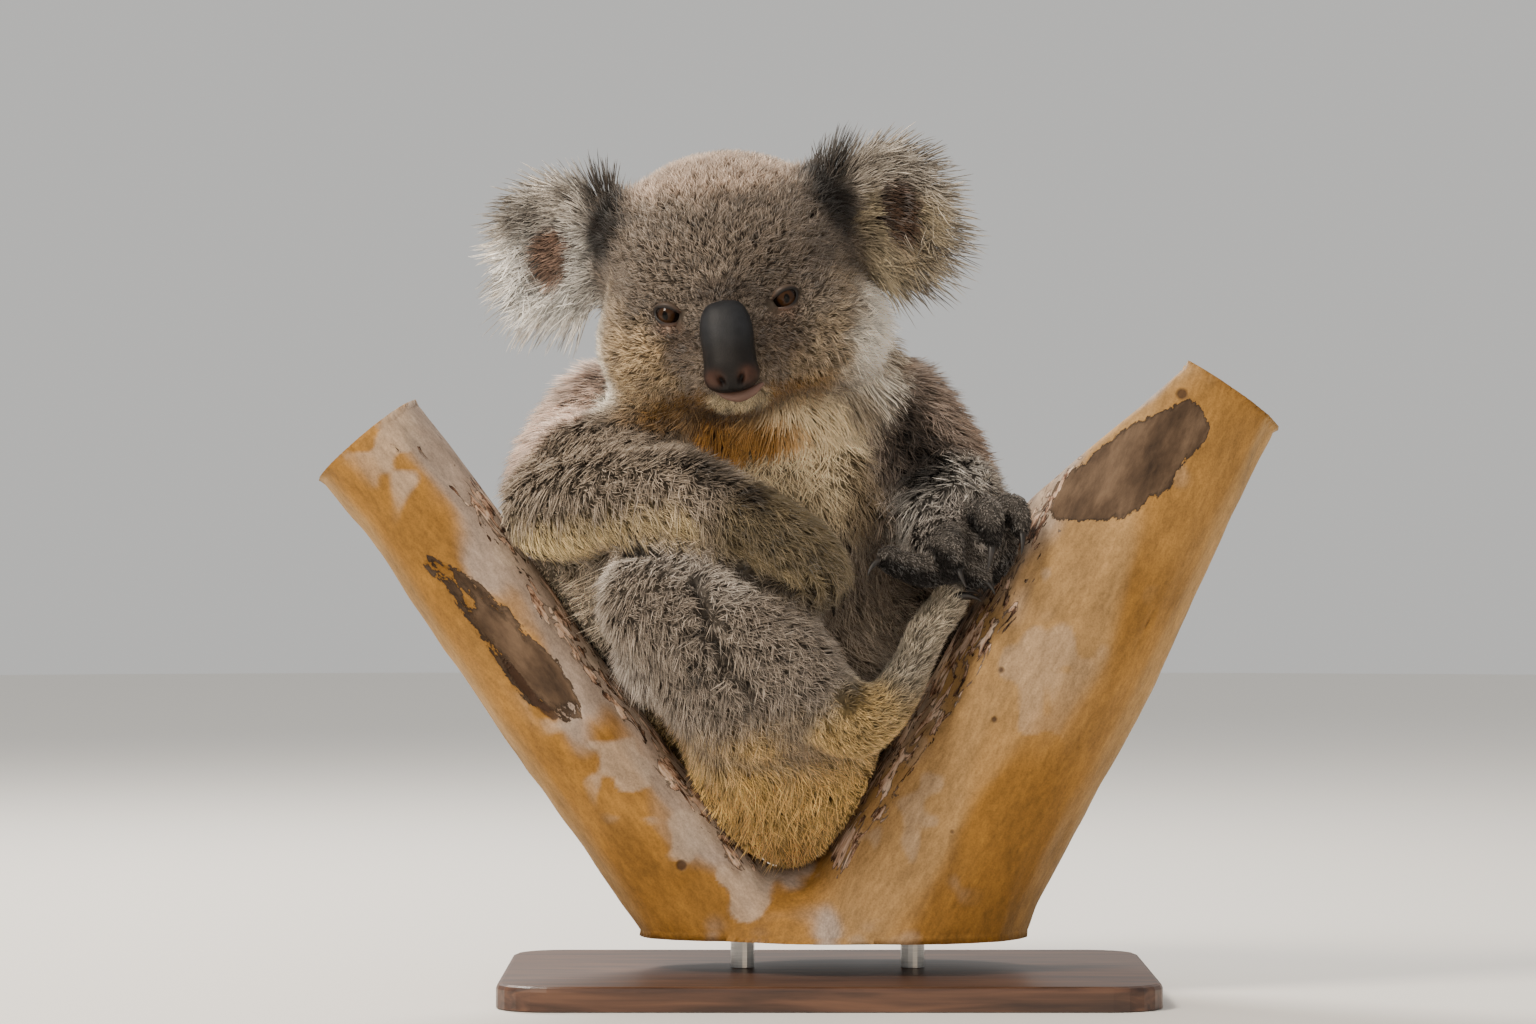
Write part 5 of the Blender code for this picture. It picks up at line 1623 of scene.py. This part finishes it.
# Stainless steel, brushed round the rod: fine scratches about 0.3 mm apart that spread its gloss.
steelMaterial = newMaterial("brushedStainlessSteel", Metallic=1.0, Roughness=0.3)
scratches = addNoise(steelMaterial, stretched(steelMaterial, (60, 60, 3300)), scale=1.0, detail=3)
tint = addRamp(steelMaterial, scratches, (0.3, "#a9a9a7"), (0.7, "#cfcecb"))
finish(steelMaterial, tint, scratches, strength=0.2, distance=0.0001)

standMaterials = {"stand_base": walnutMaterial, "stand_rod_1": steelMaterial, "stand_rod_2": steelMaterial}
for name, material in standMaterials.items():
    slots = nodes[name].material_slots
    slots[0].link = "OBJECT"
    slots[0].material = material
print("stand finished")


# ---- stage, lights and camera

stageSettings = {
    "floor": "#efece7",
    "floorRadius": 6,  # metres
    "floorSides": 96,
    "world": "#f2f1ee",
    "worldStrength": 0.68,
}
cameraSettings = {"place": (-0.035, -3.0, 0.282), "lens": 119.5, "sensor": 36}

# Matt painted floor.
floorMaterial = newMaterial("paintedFloor", Roughness=0.9, Base_Color=(*linear(stageSettings["floor"]), 1))


def makeFloor():
    # A round floor under the stand: one disc of many sides, a hair below it.
    sides, radius = stageSettings["floorSides"], stageSettings["floorRadius"]
    turn = circle(sides)
    rim = np.column_stack([radius * np.cos(turn), radius * np.sin(turn), np.full(sides, -0.0005)])
    mesh = newMesh("floor", measured(rim), np.arange(sides)[None])
    floor = newObject("floor", mesh)
    mesh.materials.append(floorMaterial)


def addLight(name, where, aim, size, power, colour):
    # A square soft light that faces its aim.
    light = bpy.data.lights.new(name, "AREA")
    light.size = size
    light.energy = power
    light.color = linear(colour)
    lamp = newObject(name, light)
    lamp.location = where
    lamp.rotation_euler = (Vector(aim) - Vector(where)).to_track_quat("-Z", "Y").to_euler()


makeFloor()
world = bpy.data.worlds.new("studio")
bpy.context.scene.world = world
world.use_nodes = True
background = world.node_tree.nodes["Background"]
background.inputs["Color"].default_value = (*linear(stageSettings["world"]), 1)
background.inputs["Strength"].default_value = stageSettings["worldStrength"]
addLight("key", (-1.3, -1.1, 2.1), (0, 0, 0.28), 0.7, 64, "#fff2e0")
addLight("bounce", (0.5, -2.4, 0.35), (0, 0, 0.2), 1.4, 12, "#ffe4c4")
addLight("rim", (-0.7, 1.3, 1.9), (0, 0, 0.35), 0.7, 60, "#fff8ee")

camera = newObject("camera", bpy.data.cameras.new("camera"))
camera.location = cameraSettings["place"]
camera.rotation_euler = (math.radians(90), 0, 0)
camera.data.lens = cameraSettings["lens"]
camera.data.sensor_width = cameraSettings["sensor"]
bpy.context.scene.camera = camera
print("stage ready")
